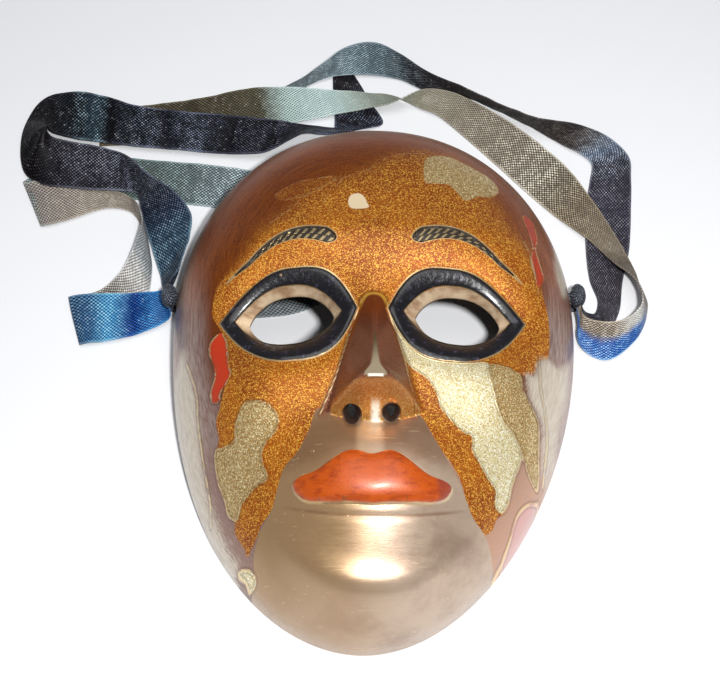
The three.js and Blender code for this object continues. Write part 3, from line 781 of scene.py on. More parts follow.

# %% [markdown]
# ## The lacquer
#
# The lacquer lies in fields that run like drops over the cheeks and the forehead. A field
# is a closed curve through a few given points. Most fields are bounded by a thin raised
# line of brass, and some lines run on alone.

# %% The fields, and the lines between them
FIELDS = {
    "gold": [
        [(-47, 7), (-50, 13), (-49, 20), (-46, 24), (-41, 28), (-38, 33), (-33, 39), (-27, 44), (-21, 50),
         (-15, 54), (-9, 57), (-2, 60), (3, 65), (8, 68), (17, 71), (24, 70.5), (30, 66), (37, 54),
         (41, 45), (44, 39), (47, 36), (49, 32), (51, 25), (53, 18), (54, 12), (54, 6), (53, -1),
         (50, -3), (48, -8), (45, -10), (40, -10), (36, -9), (36, -18), (38, -25), (41, -29), (42, -35),
         (40, -42), (38, -49), (35.5, -52), (34, -55), (32, -57), (29, -55), (26, -51), (25, -47),
         (23, -43), (18, -37), (15, -31), (12, -27), (10, -17), (7, -3), (4, 11), (0, 13.5), (-4, 12),
         (-7, 2), (-11, -13), (-16, -26), (-19, -32), (-22, -38), (-26, -42), (-27, -45), (-28, -50),
         (-30, -53), (-33, -56), (-34, -58), (-37, -62), (-38, -60), (-40, -57), (-41, -55), (-41, -52),
         (-43, -50), (-44, -46), (-46, -41), (-47, -36), (-47, -32), (-46.5, -31), (-46, -29), (-47, -24),
         (-46, -21), (-45, -16), (-43.5, -11.5), (-44, -6), (-45, 2)],
    ],
    "bare": [
        [(-17, -25), (-19, -32), (-22, -38), (-26, -42), (-28, -47), (-29.5, -52), (-33, -57), (-35, -62),
         (-35.5, -68), (-38, -74), (-40, -90), (0, -110), (40, -90), (40, -74), (38, -69), (35, -64),
         (33.5, -60), (31.5, -57), (28, -54), (26, -50), (24, -46), (20, -40), (16, -33), (12.5, -26.8),
         (7, -28.4), (0, -29.2), (-8, -28.2), (-13, -26.8)],
    ],
    "red": [
        [(-47, 6), (-50, 3), (-50, -1), (-48, -7), (-48, -11), (-49, -15), (-48, -18), (-46, -18),
         (-46, -16), (-43, -11), (-44, -6), (-45, 2)],
        [(48, 50), (51, 49), (52, 42), (51, 36), (52, 31), (53, 26), (51, 22), (50, 26), (49, 30),
         (50, 37), (49, 43), (48, 47)],
    ],
    "olive": [
        [(-35, -21), (-32, -22), (-29, -25), (-28, -28), (-29, -31), (-32, -34), (-33, -37), (-32, -41),
         (-31, -44), (-34, -45), (-37, -47), (-39, -49), (-40, -52), (-41, -52), (-43, -50), (-44, -46),
         (-46, -41), (-47, -36), (-47, -32), (-44, -32), (-41, -31), (-41, -28), (-40, -24), (-38, -21)],
        [(34, -9), (43, -10), (44, -15), (48, -21), (49, -23), (49, -30), (49, -39), (46, -38), (44, -34),
         (41, -29), (37, -25), (35, -18)],
        [(17, 67), (24, 70), (29, 68), (35, 65), (39, 62), (40, 57), (37, 53), (33, 52), (29, 49),
         (27, 51), (24, 55), (19, 55), (16, 56)],
    ],
    "pale": [
        [(4, 10), (8, 2), (12, -6), (19, -9), (28, -9), (33, -8), (34, -11), (35, -18), (37, -25),
         (41, -29), (43, -33), (43, -35), (41, -40), (40, -43), (39, -47), (37, -50), (35, -49),
         (35, -45), (33, -43), (30, -39), (28, -36), (28, -32), (25, -31), (22, -28), (19, -24),
         (18, -20), (15, -15), (10, -11), (7, -3)],
        [(-40, -64), (-37, -65), (-35, -67), (-35, -69), (-37, -69), (-38, -67), (-40, -65)],
    ],
    "white": [
        [(-60, 6), (-57, -2), (-54.5, -11), (-53, -20), (-52, -28), (-50.5, -38), (-47.5, -48),
         (-43, -58), (-40.5, -63), (-44, -68), (-51, -60), (-57, -46), (-60, -30), (-64, -10)],
        [(45, -10), (48, -8), (50, -3), (53, -1), (57, -2), (61, 2), (60, -9), (57, -19), (55, -30),
         (51, -37), (50, -29), (50, -22), (46, -17)],
        [(62, 56), (64, 51), (65, 42), (63, 29), (60, 24), (58, 29), (58, 38)],
    ],
    "pink": [
        [(45, -45), (49, -42), (50, -41), (49, -45), (44, -55), (39, -61), (38, -60), (40, -55), (42, -49)],
    ],
    "chip": [
        [(-8, 46), (-7, 49), (-4, 49), (-2, 45), (-2, 43), (-7, 43)],
    ],
    "leaf": [
        [(-31, 52), (-25, 56), (-19, 57), (-12, 57), (-19, 51), (-28, 49)],
    ],
    "nose": [
        [(-4, 12), (-7, 2), (-11, -13), (-16, -26.5), (-13, -26.9), (-7, -28.6), (0, -29.5), (7, -28.6),
         (12.5, -27), (10, -17), (7, -3), (4, 11), (0, 13.5)],
    ],
}
LINES = [
    [(-33, 39), (-27, 44), (-21, 50), (-15, 54), (-9, 57), (-2, 60), (3, 65), (8, 68), (17, 70)],
    [(-10, 56), (-13, 51), (-16, 46)],
    [(-2, 60), (2, 57), (5, 51), (5, 46), (3, 41), (0, 37)],
    [(45, -45), (42, -49), (40, -55), (38, -60), (35, -65)],
    [(-58, 0), (-54, -12), (-53, -22), (-52, -28), (-51, -34), (-49, -44), (-49, -50)],
    [(46, 40), (47, 37), (49, 32), (51, 20)],
    [(-4, 12), (-7, 2), (-11, -13), (-16, -27)],
    [(4, 11), (7, -3), (10, -17), (12, -28)],
    [(50, -3), (50, -12), (52, -24), (51, -37)],
]
OUTLINED = ("red", "olive", "pale", "pink", "leaf")

fields = {}
for name, curves in FIELDS.items():
    rings = [smooth_curve(points) for points in curves]
    fields[name] = np.maximum.reduce([signed_distance(outer_plan, ring) for ring in rings])
    print(name, "covers", int((fields[name] > 0).sum()), "vertices")


def line_distance(curve):
    """Distance to an open curve, kept within 6 mm."""
    path = smooth_curve(curve, closed=False)
    near = np.all((outer_plan > path.min(0) - FAR) & (outer_plan < path.max(0) + FAR), axis=1)
    result = np.full(len(outer_plan), FAR)
    result[near] = np.minimum(segment_distance(outer_plan[near], path[:-1], path[1:]), FAR)
    return result


fields["line"] = np.minimum.reduce([line_distance(curve) for curve in LINES]
                                   + [np.abs(fields[name]) for name in OUTLINED])

# %% [markdown]
# Other places are told by the shape itself: the eye rings by their loops, the flat of the
# nose by its width, the brows by a measure along and across each leaf, and the streaks of
# the polishing by the direction and the distance from the middle of the face.

# %% Measures of the relief
brow_along = (np.abs(outer_x) - BROW_START) / (BROW_END - BROW_START)
brow_middle = brow_line(np.clip(brow_along, 0, 1))
ring = ring_number(outer_x, outer_y)
offsets = outer_plan - MIDDLE
angle = np.arctan2(offsets[:, 1], offsets[:, 0])
flat_half = flat_half_width(down_the_nose(outer_y), 1.9, 1.3)
under_nose = [NOSE_TIP_Y - 0.3 - outer_y, outer_y - nose_base(outer_x) + 0.7,
              NOSE_HALF_WIDTH - np.abs(outer_x)]
measures = {
    "eye": eye_share,
    "lips": lip_distance,
    "brow": brow_distance,
    "brow_along": brow_along,
    "brow_across": outer_y - brow_middle,
    "ring": ring,
    "nose_flat": np.minimum(flat_half - np.abs(outer_x), outer_y - NOSE_TIP_Y),
    "nose_under": np.minimum.reduce(under_nose),
    "plan_x": outer_x,
    "plan_y": outer_y,
}
SWEEP_ROUND, SWEEP_OUT = 14.0, 150.0
sweep = np.stack([SWEEP_ROUND * np.cos(angle), SWEEP_ROUND * np.sin(angle), SWEEP_OUT * ring], 1)


def give_attribute(name, values, elsewhere):
    """One number per vertex for the finish to read; the inside of the mask takes elsewhere."""
    whole = np.full(len(mask.data.vertices), elsewhere, np.float32)
    whole[:len(values)] = values
    mask.data.attributes.new(name, "FLOAT", "POINT").data.foreach_set("value", whole)


for name, values in fields.items():
    give_attribute(name, values, FAR if name == "line" else -FAR)
for name, values in measures.items():
    give_attribute(name, values, {"eye": 3.0, "ring": 1.0}.get(name, -FAR))
give_attribute("inside", np.zeros(len(outer_plan)), 1.0)
nostril_end = np.zeros(len(mask.data.vertices))
for k in (3, 5):
    start = inner_offset + inner_starts[k]
    nostril_end[start:start + len(inner_loops[k])] = 1
give_attribute("nostril", nostril_end, 0.0)
whole_sweep = np.zeros((len(mask.data.vertices), 3), np.float32)
whole_sweep[:len(sweep)] = sweep
mask.data.attributes.new("sweep", "FLOAT_VECTOR", "POINT").data.foreach_set("vector", whole_sweep.ravel())
print(len(mask.data.attributes), "attributes on the mask")

# %% [markdown]
# ## The ribbons
#
# A satin ribbon 19 mm wide is doubled through each side hole and knotted there, and its
# two tails lie folded and twisted round the forehead. A tail is a band ruled between its
# two selvedges, which are smooth curves through a few given stations.

# %% Stations of the four tails
# Each station holds a point of one selvedge and a point of the other, in millimetres.
BLUE_TAIL = [
    (-66.8, 34.2, 10.5, -66.8, 29.2, 7), (-69.5, 35.6, 5, -67.5, 26, 2.5),
    (-76, 36.4, 2, -76, 21.5, 1.4), (-86, 36.2, 1.6, -86, 18.6, 1.4),
    (-96, 36, 1.6, -93.4, 17.6, 1.5), (-101, 35.2, 1, -95.8, 17.2, 1),
    (-97, 36, 0.4, -91, 19.6, 0.4), (-90, 39, 0.4, -82, 24, 0.4),
    (-84, 46, 1.6, -75.6, 33, 0.5), (-79.5, 54, 6, -74.2, 44, 0.6),
    (-77.6, 61, 8, -75.8, 55, 0.8), (-79.6, 68, 6, -78.6, 63, 0.8),
    (-84, 75, 1.6, -83, 69, 0.8), (-92, 78.6, 1.2, -91, 70.5, 1),
    (-103, 81.5, 1.3, -102, 66.5, 1.2), (-114, 82, 1.3, -109, 64, 1.2),
    (-121.4, 81, 0.8, -113.6, 63.4, 0.8), (-115, 86, 0.3, -107, 69.6, 0.3),
    (-105, 91, 0.3, -99, 74.4, 0.3), (-89, 92, 0.3, -86, 74.6, 0.3),
    (-73, 90.4, 0.3, -72, 73.4, 0.3), (-57, 89, 0.3, -57.6, 71.6, 0.3),
    (-43, 86.6, 0.35, -46, 70, 0.35), (-27, 83, 0.35, -36, 67.6, 0.35),
    (-10, 73, 0.35, -26, 64, 0.35), (-3, 57, 0.35, -21, 56.6, 0.35),
    (-9, 40, 0.35, -24, 49, 0.35), (-24, 30, 0.35, -32, 46, 0.35),
    (-40, 27.6, 0.35, -42, 45, 0.35), (-52, 28, 0.35, -50, 44.4, 0.35),
]
BLACK_TAIL = [
    (-66.4, 36, 10, -67, 30.5, 8), (-63.6, 42, 11, -69.2, 37, 2),
    (-61, 51, 12, -72.6, 48, 1.4), (-60.6, 60, 12, -76, 58, 1.6),
    (-66, 69, 12, -79, 67.6, 1.8), (-76.6, 77, 13, -81, 75.4, 2.6),
    (-84, 87, 8, -83.2, 76, 3), (-89, 92.4, 3.6, -87, 76.2, 3),
    (-98, 95.4, 3, -97, 77, 2.6), (-107, 97, 3.4, -106.4, 78.2, 2.2),
    (-112.4, 98, 5, -114.6, 80, 1.2), (-113.4, 98.6, 7.5, -121, 85, 0.9),
    (-113.4, 99.4, 9, -123.6, 96, 0.8), (-113.2, 100, 7.5, -122.4, 108, 1),
    (-111.6, 99.8, 4.6, -117, 117, 1.4), (-104, 98.4, 2.8, -106.4, 119.6, 1.9),
    (-95, 97.2, 2.3, -96, 117.6, 2.1), (-84, 95.6, 2.3, -84, 112.4, 3.4),
    (-68, 94, 2.3, -67, 109, 4.4), (-52, 92.4, 2.3, -50, 108.4, 2.8),
    (-37, 92, 4, -34, 106.4, 2.8), (-24, 97, 8, -20, 104.4, 1.8),
    (-14, 99.6, 4, 0, 104.6, 1), (-13.4, 106, 0.5, 3.8, 107, 0.5),
    (-13.8, 115, 0.3, -0.2, 115.4, 0.3), (-14.2, 124, 0.3, -4.4, 124.2, 0.3),
    (-14.2, 130.6, 0.3, -7.6, 130.6, 0.3),
]
BROWN_TAIL = [
    (66.8, 33.6, 10.5, 66.8, 29, 7.5), (68, 25, 7.5, 67.4, 16.4, 1.6),
    (75, 23.4, 5.5, 75, 11.6, 0.9), (81.6, 23.6, 7, 82.4, 15.6, 0.9),
    (86.4, 26, 10.5, 88, 23, 1), (87, 31, 12.5, 90.6, 31.4, 1.2),
    (84.6, 38.6, 9.5, 89, 39, 1.6), (79.6, 47.6, 4, 86.2, 48.4, 2),
    (72.4, 57.6, 1.8, 80, 60.4, 5), (63.6, 66, 1, 74, 72.6, 5),
    (54.6, 75.6, 0.5, 67, 87, 2.4), (42.4, 89.6, 0.4, 51, 104.4, 1.6),
    (31.6, 101.6, 0.5, 38, 114, 2), (23.4, 109.6, 1.2, 28, 118.4, 3.4),
    (16.8, 113, 1, 18.4, 117.4, 6.4), (8.4, 117.4, 1.9, 9, 113, 5.4),
    (-2.4, 119.2, 1.9, 0, 111.4, 3.8), (-14.4, 120.6, 1.7, -12, 109.6, 2.2),
    (-30, 122, 1.5, -27.4, 106.4, 1.6), (-44, 121.6, 1.3, -42, 104.2, 1.3),
    (-60, 117.8, 0.9, -59.6, 100, 0.9), (-80, 114.4, 0.8, -79.6, 97.6, 0.8),
    (-96, 112.6, 0.8, -96, 96.6, 0.8),
]
DARK_TAIL = [
    (67, 33, 8.5, 67, 29, 6), (69.2, 28.4, 4, 69.8, 23, 2),
    (72.8, 28.6, 1.2, 76, 21.6, 0.8), (74.4, 33.6, 0.4, 81, 29, 0.4),
    (72.4, 42, 0.4, 83.4, 41.4, 0.4), (72, 55, 0.4, 86.6, 53.6, 0.4),
    (73, 70, 0.4, 88.6, 69.4, 0.4), (75.4, 82, 0.5, 89.8, 83, 0.6),
    (76.4, 89, 1, 89.6, 91.4, 1.6), (73.6, 92.4, 1.2, 83, 98, 4),
    (66.6, 97.2, 0.9, 71.6, 101.6, 7), (57.4, 104, 0.8, 58.2, 103, 8.5),
    (45.6, 111.6, 0.8, 46, 108.8, 8), (33, 118, 0.8, 33.4, 116.4, 8),
    (21, 120, 0.8, 20, 125.4, 6), (10, 126, 0.7, 10, 135.4, 4),
    (1, 127.6, 1.2, 0.4, 140.6, 4), (-8, 127.6, 1.4, -9.6, 137.4, 5),
    (-16.4, 126.4, 1.2, -17, 130.4, 5.5), (-24, 122.6, 0.5, -24.6, 125.6, 3),
    (-32, 114, 0.3, -35, 121.4, 0.3), (-39, 108, 0.3, -45, 117.6, 0.3),
]
for label, tail in (("blue", BLUE_TAIL), ("black", BLACK_TAIL), ("brown", BROWN_TAIL), ("dark", DARK_TAIL)):
    print(label, "tail:", len(tail), "stations")


# %% A curve through stations, and a band between two curves
def carried(points, per_span):
    """A centripetal Catmull-Rom curve: tangents weighed by the root of the steps' lengths."""
    points = np.asarray(points, float)
    padded = np.vstack([2 * points[0] - points[1], points, 2 * points[-1] - points[-2]])
    a, b, c, d = (padded[k:len(points) - 1 + k] for k in range(4))
    d0, d1, d2 = (np.sqrt(np.linalg.norm(q - p, axis=1))[:, None] for p, q in ((a, b), (b, c), (c, d)))
    start = ((b - a) / d0 - (c - a) / (d0 + d1) + (c - b) / d1) * d1
    end = ((c - b) / d1 - (d - b) / (d1 + d2) + (d - c) / d2) * d1
    t = (np.arange(per_span) / per_span)[None, :, None]
    b, c, start, end = (v[:, None, :] for v in (b, c, start, end))
    curve = (b + start * t + (3 * (c - b) - 2 * start - end) * t ** 2
             + (2 * (b - c) + start + end) * t ** 3)
    return np.vstack([curve.reshape(-1, points.shape[1]), points[-1:]])


def grid_faces(rows, columns, close_rows=False, close_columns=False):
    """Quads of a grid of points that is stored row by row."""
    i = np.arange(rows if close_rows else rows - 1)
    j = np.arange(columns if close_columns else columns - 1)
    i, j = np.meshgrid(i, j, indexing="ij")
    down, right = (i + 1) % rows, (j + 1) % columns
    return np.stack([i * columns + j, down * columns + j, down * columns + right, i * columns + right],
                    -1).reshape(-1, 4)


RIBBON_WIDTH = 19.0
CLOTH = 0.42
LEAST_HEIGHT = 0.02
ACROSS = 17
PER_STATION = 14
STEP = 0.8
RIPPLE = 0.25


def tail_band(stations, seed):
    """Between the selvedges the band is straight, plus small ripples along its normal.

    The ripples are sines of the way along, slanted across the band. They fade at its edges
    and are stronger near the knot. The seed only moves them along.
    """
    stations = np.asarray(stations, float)
    first, second = carried(stations[:, :3], PER_STATION), carried(stations[:, 3:], PER_STATION)
    middle = (first + second) / 2
    along = np.concatenate([[0], np.cumsum(np.linalg.norm(np.diff(middle, axis=0), axis=1))])
    even = np.linspace(0, along[-1], int(along[-1] / STEP) + 1)
    first, second = (np.stack([np.interp(even, along, s[:, k]) for k in range(3)], 1)
                     for s in (first, second))
    ahead = np.gradient(first, axis=0) + np.gradient(second, axis=0)
    normal = np.cross(ahead, second - first)
    normal /= np.linalg.norm(normal, axis=1)[:, None]
    v = np.linspace(0, 1, ACROSS)[None, :, None]
    cloth = first[:, None] * (1 - v) + second[:, None] * v
    u, w = even[:, None], v[0, :, 0][None]
    waves = (np.sin(u * 0.55 + 2.1 * w + seed) + 0.6 * np.sin(u * 0.23 - 3.3 * w + 2 * seed)
             + 0.4 * np.sin(u * 1.1 + 5 * w + 3 * seed))
    waves = RIPPLE * waves * (0.35 + 0.65 * np.sin(np.pi * w)) * (1 + 2 * np.exp(-u / 14))
    cloth = cloth + normal[:, None] * waves[..., None]
    cloth[..., 2] = np.maximum(cloth[..., 2], CLOTH / 2 + LEAST_HEIGHT)
    rows = len(even)
    lift = normal[:, None] * (CLOTH / 2)
    section = np.concatenate([cloth + lift, (cloth - lift)[:, ::-1]], 1)
    section[..., 2] = np.maximum(section[..., 2], LEAST_HEIGHT)
    points = section.reshape(-1, 3)
    sides = grid_faces(rows, 2 * ACROSS, close_columns=True)
    ends = []
    for row, turn in ((0, 1), (rows - 1, -1)):
        k = np.arange(ACROSS - 1) + row * 2 * ACROSS
        back = row * 2 * ACROSS + 2 * ACROSS - 1 - np.arange(ACROSS - 1)
        ends.append(np.stack([k, k + 1, back - 1, back], 1)[:, ::turn])
    uv_across = np.concatenate([w[0], w[0, ::-1]]) * RIBBON_WIDTH
    uv = np.stack(np.broadcast_arrays(uv_across[None], even[:, None]), -1).reshape(-1, 2)
    return points, np.vstack([sides, *ends]), uv, even[-1]


def add_cloth(name, points_mm, quads, uv_mm):
    """A cloth mesh with a map of its own, from millimetres, for the weave to be laid along."""
    obj = add_mesh(name, points_mm, quads, 60)
    mesh = obj.data
    layer = mesh.uv_layers.new(name="weave")
    corners = np.empty(len(mesh.loops), np.int32)
    mesh.loops.foreach_get("vertex_index", corners)
    layer.data.foreach_set("uv", (uv_mm[corners] / 1000).ravel())
    return obj


def mesh_area(points, quads):
    """Half the length of the cross product of each quad's diagonals, added up."""
    p = points[quads]
    return 0.5 * np.linalg.norm(np.cross(p[:, 2] - p[:, 0], p[:, 3] - p[:, 1]), axis=1).sum()


TAILS = {
    "blue_tail": ("left", BLUE_TAIL, 0.3),
    "black_tail": ("left", BLACK_TAIL, 1.7),
    "brown_tail": ("right", BROWN_TAIL, 2.9),
    "dark_tail": ("right", DARK_TAIL, 4.1),
}
tails = {}
for name, (side, stations, seed) in TAILS.items():
    points, quads, uv, length = tail_band(stations, seed)
    tail = add_cloth(name, points, quads, uv)
    area = mesh_area(points, quads) / 2
    print(name, "length", round(length), "mm, cloth", round(area), "sq mm")
    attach(tail, "root")
    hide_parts(side + "_ribbon")
    tails[name] = (tail, length, area)

# %% [markdown]
# At the hole the ribbon is bunched into a narrow band that goes in, down behind the rim
# and back up outside, and a small overhand knot holds it there. The loops inside a pulled
# knot can't be seen, so it is a lump with grooves wound round it.

# %% Bights and knots
HOLE_SIDE = HALF_WIDTH - 1
BIGHT_LOOP = [(2.6, 8), (-1, 8.2), (-5.4, 7.6), (-6.2, 4.6), (-5.4, 1.4), (-2, 0.75), (1.2, 0.75), (3, 2),
              (3.4, 5)]
BIGHT_LENGTH = 30
KNOT_OUT, KNOT_ALONG, KNOT_UP = 2.6, 3.9, 4.2


def bight(side):
    """A bunched band carried round a closed loop: in through the hole and back under the rim.

    Its section is an oval, folded by six waves round it. Points of the loop are how far out
    of the hole they are, and how high.
    """
    path = smooth_curve(BIGHT_LOOP, 10)
    ahead = np.roll(path, -1, axis=0) - np.roll(path, 1, axis=0)
    ahead /= np.linalg.norm(ahead, axis=1)[:, None]
    turn = np.linspace(0, 2 * np.pi, 40, endpoint=False)
    width = 1.55 * np.cos(turn)
    thick = (0.42 + 0.13 * np.cos(6 * turn)) * np.sin(turn)
    out = path[:, :1] + thick * ahead[:, 1:]
    z = path[:, 1:] - thick * ahead[:, :1]
    y = HOLE_Y + np.broadcast_to(width, out.shape)
    points = np.stack([side * (HOLE_SIDE + out), y, np.maximum(z, LEAST_HEIGHT)], -1)
    quads = grid_faces(len(path), len(turn), True, True)
    length = np.linspace(0, BIGHT_LENGTH, len(path))
    uv = np.stack(np.broadcast_arrays(turn[None] * 3, length[:, None]), -1)
    return points.reshape(-1, 3), quads if side < 0 else quads[:, ::-1], uv.reshape(-1, 2)


def knot(side):
    """A ball drawn out to its three half widths, with three slanted grooves wound round it.

    The grooves are where the sine of one and a half turns is near 0. Fine folds cross them.
    """
    rows, columns = 40, 64
    lat = np.linspace(0, np.pi, rows + 1)[:, None]
    lon = np.linspace(0, 2 * np.pi, columns, endpoint=False)[None]
    wound = np.abs(np.sin(1.5 * (lon + 1.1 * lat)))
    grooved = 1 - 0.16 * np.exp(-(wound / 0.28) ** 2) * np.sin(lat) ** 0.5
    fold = 1 + 0.025 * np.sin(14 * lat + 3 * lon) * np.sin(lat)
    radius = grooved * fold
    x = KNOT_OUT * radius * np.sin(lat) * np.cos(lon)
    y = KNOT_ALONG * radius * np.sin(lat) * np.sin(lon)
    z = KNOT_UP * radius * np.cos(lat)
    points = np.stack([side * (HALF_WIDTH + 1.6) + side * x, HOLE_Y + 0.3 + y, HOLE_Z + 0.4 + z], -1)
    quads = grid_faces(rows + 1, columns, close_columns=True)
    uv = np.stack(np.broadcast_arrays(lon * 3, lat * 4), -1)
    return points.reshape(-1, 3), quads if side > 0 else quads[:, ::-1], uv.reshape(-1, 2)


for side, label in ((-1, "left"), (1, "right")):
    for part, make in (("bight", bight), ("knot", knot)):
        points, quads, uv = make(side)
        piece = add_cloth(label + "_" + part, points, quads, uv)
        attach(piece, "root")
        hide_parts(label + "_ribbon")
    print(label, "knot at", [round(v, 1) for v in points.mean(0)])

# %% [markdown]
# The floor stands for the cloth the mask lies on. It is only there for the picture, to
# catch the shadows.

# %% Floor
FLOOR_HALF = 1.2
corners = FLOOR_HALF * np.array([(-1, -1, 0), (1, -1, 0), (1, 1, 0), (-1, 1, 0)])
floor_mesh = bpy.data.meshes.new("floor")
floor_mesh.from_pydata(corners.tolist(), [], [(0, 1, 2, 3)])
floor = bpy.data.objects.new("floor", floor_mesh)
scene.collection.objects.link(floor)
print("floor", 2 * FLOOR_HALF, "m wide")

# %% [markdown]
# ## Finishes
#
# A finish is a Principled shader whose colour, metalness and roughness are laid over each
# other in coats, as the maker laid the lacquer: first the metal, then the fields. Wiring
# nodes one by one takes many lines, so a small class does it with plain calls.

# %% A small helper that wires nodes
class Finish:
    """A material whose nodes are wired by plain calls; a value is a number or an output."""

    def __init__(self, name):
        self.material = bpy.data.materials.new(name)
        self.material.use_nodes = True
        self.nodes = self.material.node_tree.nodes
        self.links = self.material.node_tree.links
        self.shader = self.nodes["Principled BSDF"]

    def put(self, socket, value):
        """Links an output to the socket, or sets the socket to a number or a colour."""
        if isinstance(value, bpy.types.NodeSocket):
            self.links.new(value, socket)
        elif value is not None:
            if hasattr(value, "__len__") and len(value) == 3 and socket.type == "RGBA":
                value = (*value, 1.0)
            socket.default_value = value

    def node(self, kind, inputs=(), **settings):
        """A node of a kind, with what goes into its sockets and how it is set."""
        made = self.nodes.new("ShaderNode" + kind)
        for key, value in settings.items():
            setattr(made, key, value)
        for key, value in dict(inputs).items():
            self.put(made.inputs[key], value)
        return made

    def attribute(self, name, output="Fac"):
        """What the mesh's attribute of that name says at each point."""
        return self.node("Attribute", attribute_name=name).outputs[output]

    def math(self, operation, *values):
        """One sum of one to three values."""
        made = self.node("Math", operation=operation)
        for socket, value in zip(made.inputs, values):
            self.put(socket, value)
        return made.outputs[0]

    def times(self, *values):
        """All the values multiplied."""
        result = values[0]
        for value in values[1:]:
            result = self.math("MULTIPLY", result, value)
        return result

    def plus(self, first, second):
        """Two values added."""
        return self.math("ADD", first, second)

    def gap(self, value, mark):
        """How far a value is from a mark, on either side of it."""
        return self.math("ABSOLUTE", self.plus(value, -mark))

    def ramp(self, value, start, end, low=0.0, high=1.0, smooth=True):
        """From low to high as value goes from start to end, and held outside."""
        made = self.node("MapRange", {"Value": value, "From Min": start, "From Max": end,
                                      "To Min": low, "To Max": high})
        made.interpolation_type = "SMOOTHSTEP" if smooth else "LINEAR"
        return made.outputs[0]

    def stops(self, value, marks):
        """A colour that passes through the marks, each a place and a colour."""
        start, end = marks[0][0], marks[-1][0]
        made = self.node("ValToRGB")
        self.put(made.inputs[0], self.ramp(value, start, end, smooth=False))
        band = made.color_ramp
        band.elements[0].position, band.elements[1].position = 0.0, 1.0
        for where, _ in marks[1:-1]:
            band.elements.new((where - start) / (end - start))
        for element, (_, colour) in zip(band.elements, marks):
            element.color = (*colour, 1.0)
        return made.outputs[0]

    def blend(self, amount, first, second):
        """Two colours mixed."""
        made = self.node("Mix", data_type="RGBA", blend_type="MIX")
        for socket, value in zip((made.inputs[0], made.inputs[6], made.inputs[7]), (amount, first, second)):
            self.put(socket, value)
        return made.outputs[2]

    def between(self, amount, first, second):
        """Two numbers mixed."""
        made = self.node("Mix", data_type="FLOAT")
        for socket, value in zip((made.inputs[0], made.inputs[2], made.inputs[3]), (amount, first, second)):
            self.put(socket, value)
        return made.outputs[0]

    def noise(self, where, scale, detail=3.0, rough=0.5):
        """Smooth noise about 0.5, finer with scale and rougher with detail."""
        return self.node("TexNoise", {"Vector": where, "Scale": scale, "Detail": detail,
                                      "Roughness": rough}).outputs[0]

    def cells(self, where, scale):
        """Three random numbers for each cell of a Voronoi pattern."""
        made = self.node("TexVoronoi", {"Vector": where, "Scale": scale}).outputs["Color"]
        return self.node("SeparateColor", {"Color": made}).outputs

    def stretched(self, where, factors):
        """The same place with each axis made longer or shorter."""
        return self.node("Mapping", {"Vector": where, "Scale": factors}).outputs[0]

    def lay(self, under, over, amount):
        """One coat over another: each named value is mixed by the same amount."""
        coat = {}
        for key, value in under.items():
            mix = self.blend if key == "colour" else self.between
            coat[key] = mix(amount, value, over[key]) if key in over else value
        return coat


def coat_of(colour, metallic, roughness, flake, gloss):
    """A whole coat: flake is its share of raised flakes, gloss its share of clear lacquer."""
    return {"colour": colour, "metallic": metallic, "roughness": roughness, "flake": flake, "coat": gloss}


# %% [markdown]
# The mask's own finish comes first. Lacquer with metal flakes is a dark, glossy ground
# with countless tiny mirrors in it. Each flake is one cell of a fine Voronoi pattern, with
# a height of its own and its glint painted into its colour: a painted highlight on the
# brightest cells and a painted shade on the darkest, so the glitter stays sharp however
# close one looks.
#
# The colours are written as a screen shows them, and turned into the linear values that a
# shader counts in.

# %% Colours
def shown(red, green, blue):
    """A colour as a screen shows it, 0 to 255, made linear by the usual power of 2.2."""
    return tuple((value / 255) ** 2.2 for value in (red, green, blue))


BARE_BRASS, OLD_BRASS = shown(190, 166, 144), shown(158, 132, 112)
BARE_YELLOW, PAINTED_SHADE_BRASS, SCRATCH = shown(166, 132, 92), shown(128, 92, 64), shown(70, 48, 36)
BRIGHT_BRASS, LINE_BRASS, LINE_GOLD = shown(232, 205, 150), shown(226, 200, 150), shown(224, 150, 60)
RAW_BRASS, RAW_DARK, NOSTRIL_SHADE = shown(108, 94, 76), shown(78, 66, 54), shown(52, 32, 22)
REVEAL, REVEAL_DARK = shown(232, 206, 172), shown(176, 138, 104)
COPPER, BROWN = shown(158, 82, 26), shown(110, 54, 24)
OLIVE_EDGE = shown(108, 96, 76)
MAUVE, GREY_MAUVE, DUSTY = shown(146, 114, 102), shown(176, 152, 142), shown(130, 88, 64)
SALMON = shown(196, 150, 122)
GOLD, GOLD_BROWN, GOLD_TOP = shown(176, 92, 6), shown(146, 68, 4), shown(138, 62, 4)
GOLD_LIGHT, GOLD_DARK = shown(255, 192, 76), shown(92, 38, 4)
OLIVE, OLIVE_LIGHT, OLIVE_DARK = shown(176, 140, 84), shown(250, 236, 184), shown(96, 68, 30)
PALE, PALE_LIGHT, PALE_DARK = shown(222, 206, 152), shown(255, 255, 236), shown(160, 126, 60)
WHITE, WHITE_DARK = shown(214, 202, 184), shown(190, 174, 152)
RED, LIP_RED, LIP_DARK = shown(182, 50, 0), shown(186, 78, 0), shown(152, 56, 0)
LIP_CORNER, LIP_WORN = shown(120, 50, 50), shown(120, 70, 40)
PINK, CHIP = shown(206, 150, 140), shown(238, 214, 176)
NOSE_COPPER, NOSE_LIGHT = shown(124, 72, 52), shown(160, 100, 70)
FACET, FACET_DARK, PAINTED_HIGHLIGHT_COLOUR = shown(206, 186, 152), shown(112, 94, 62), shown(255, 250, 232)
UNDER_TIP, UNDER_LIGHT, UNDER_DARK = shown(222, 150, 70), shown(255, 226, 150), shown(150, 80, 30)
BLACK, BLACK_HIGHLIGHT, BROW_BLACK = shown(20, 17, 21), shown(96, 92, 116), shown(44, 34, 26)
STROKE = shown(190, 168, 124)

# %% [markdown]
# Three noises serve the whole mask: broad clouds, streaks that follow the rim as the
# polishing did, and a fine wobble that roughens the edges of the fields.

# %% What the finish of the mask reads
FLAKES_PER_METRE = 3700.0
WOBBLE = 0.55

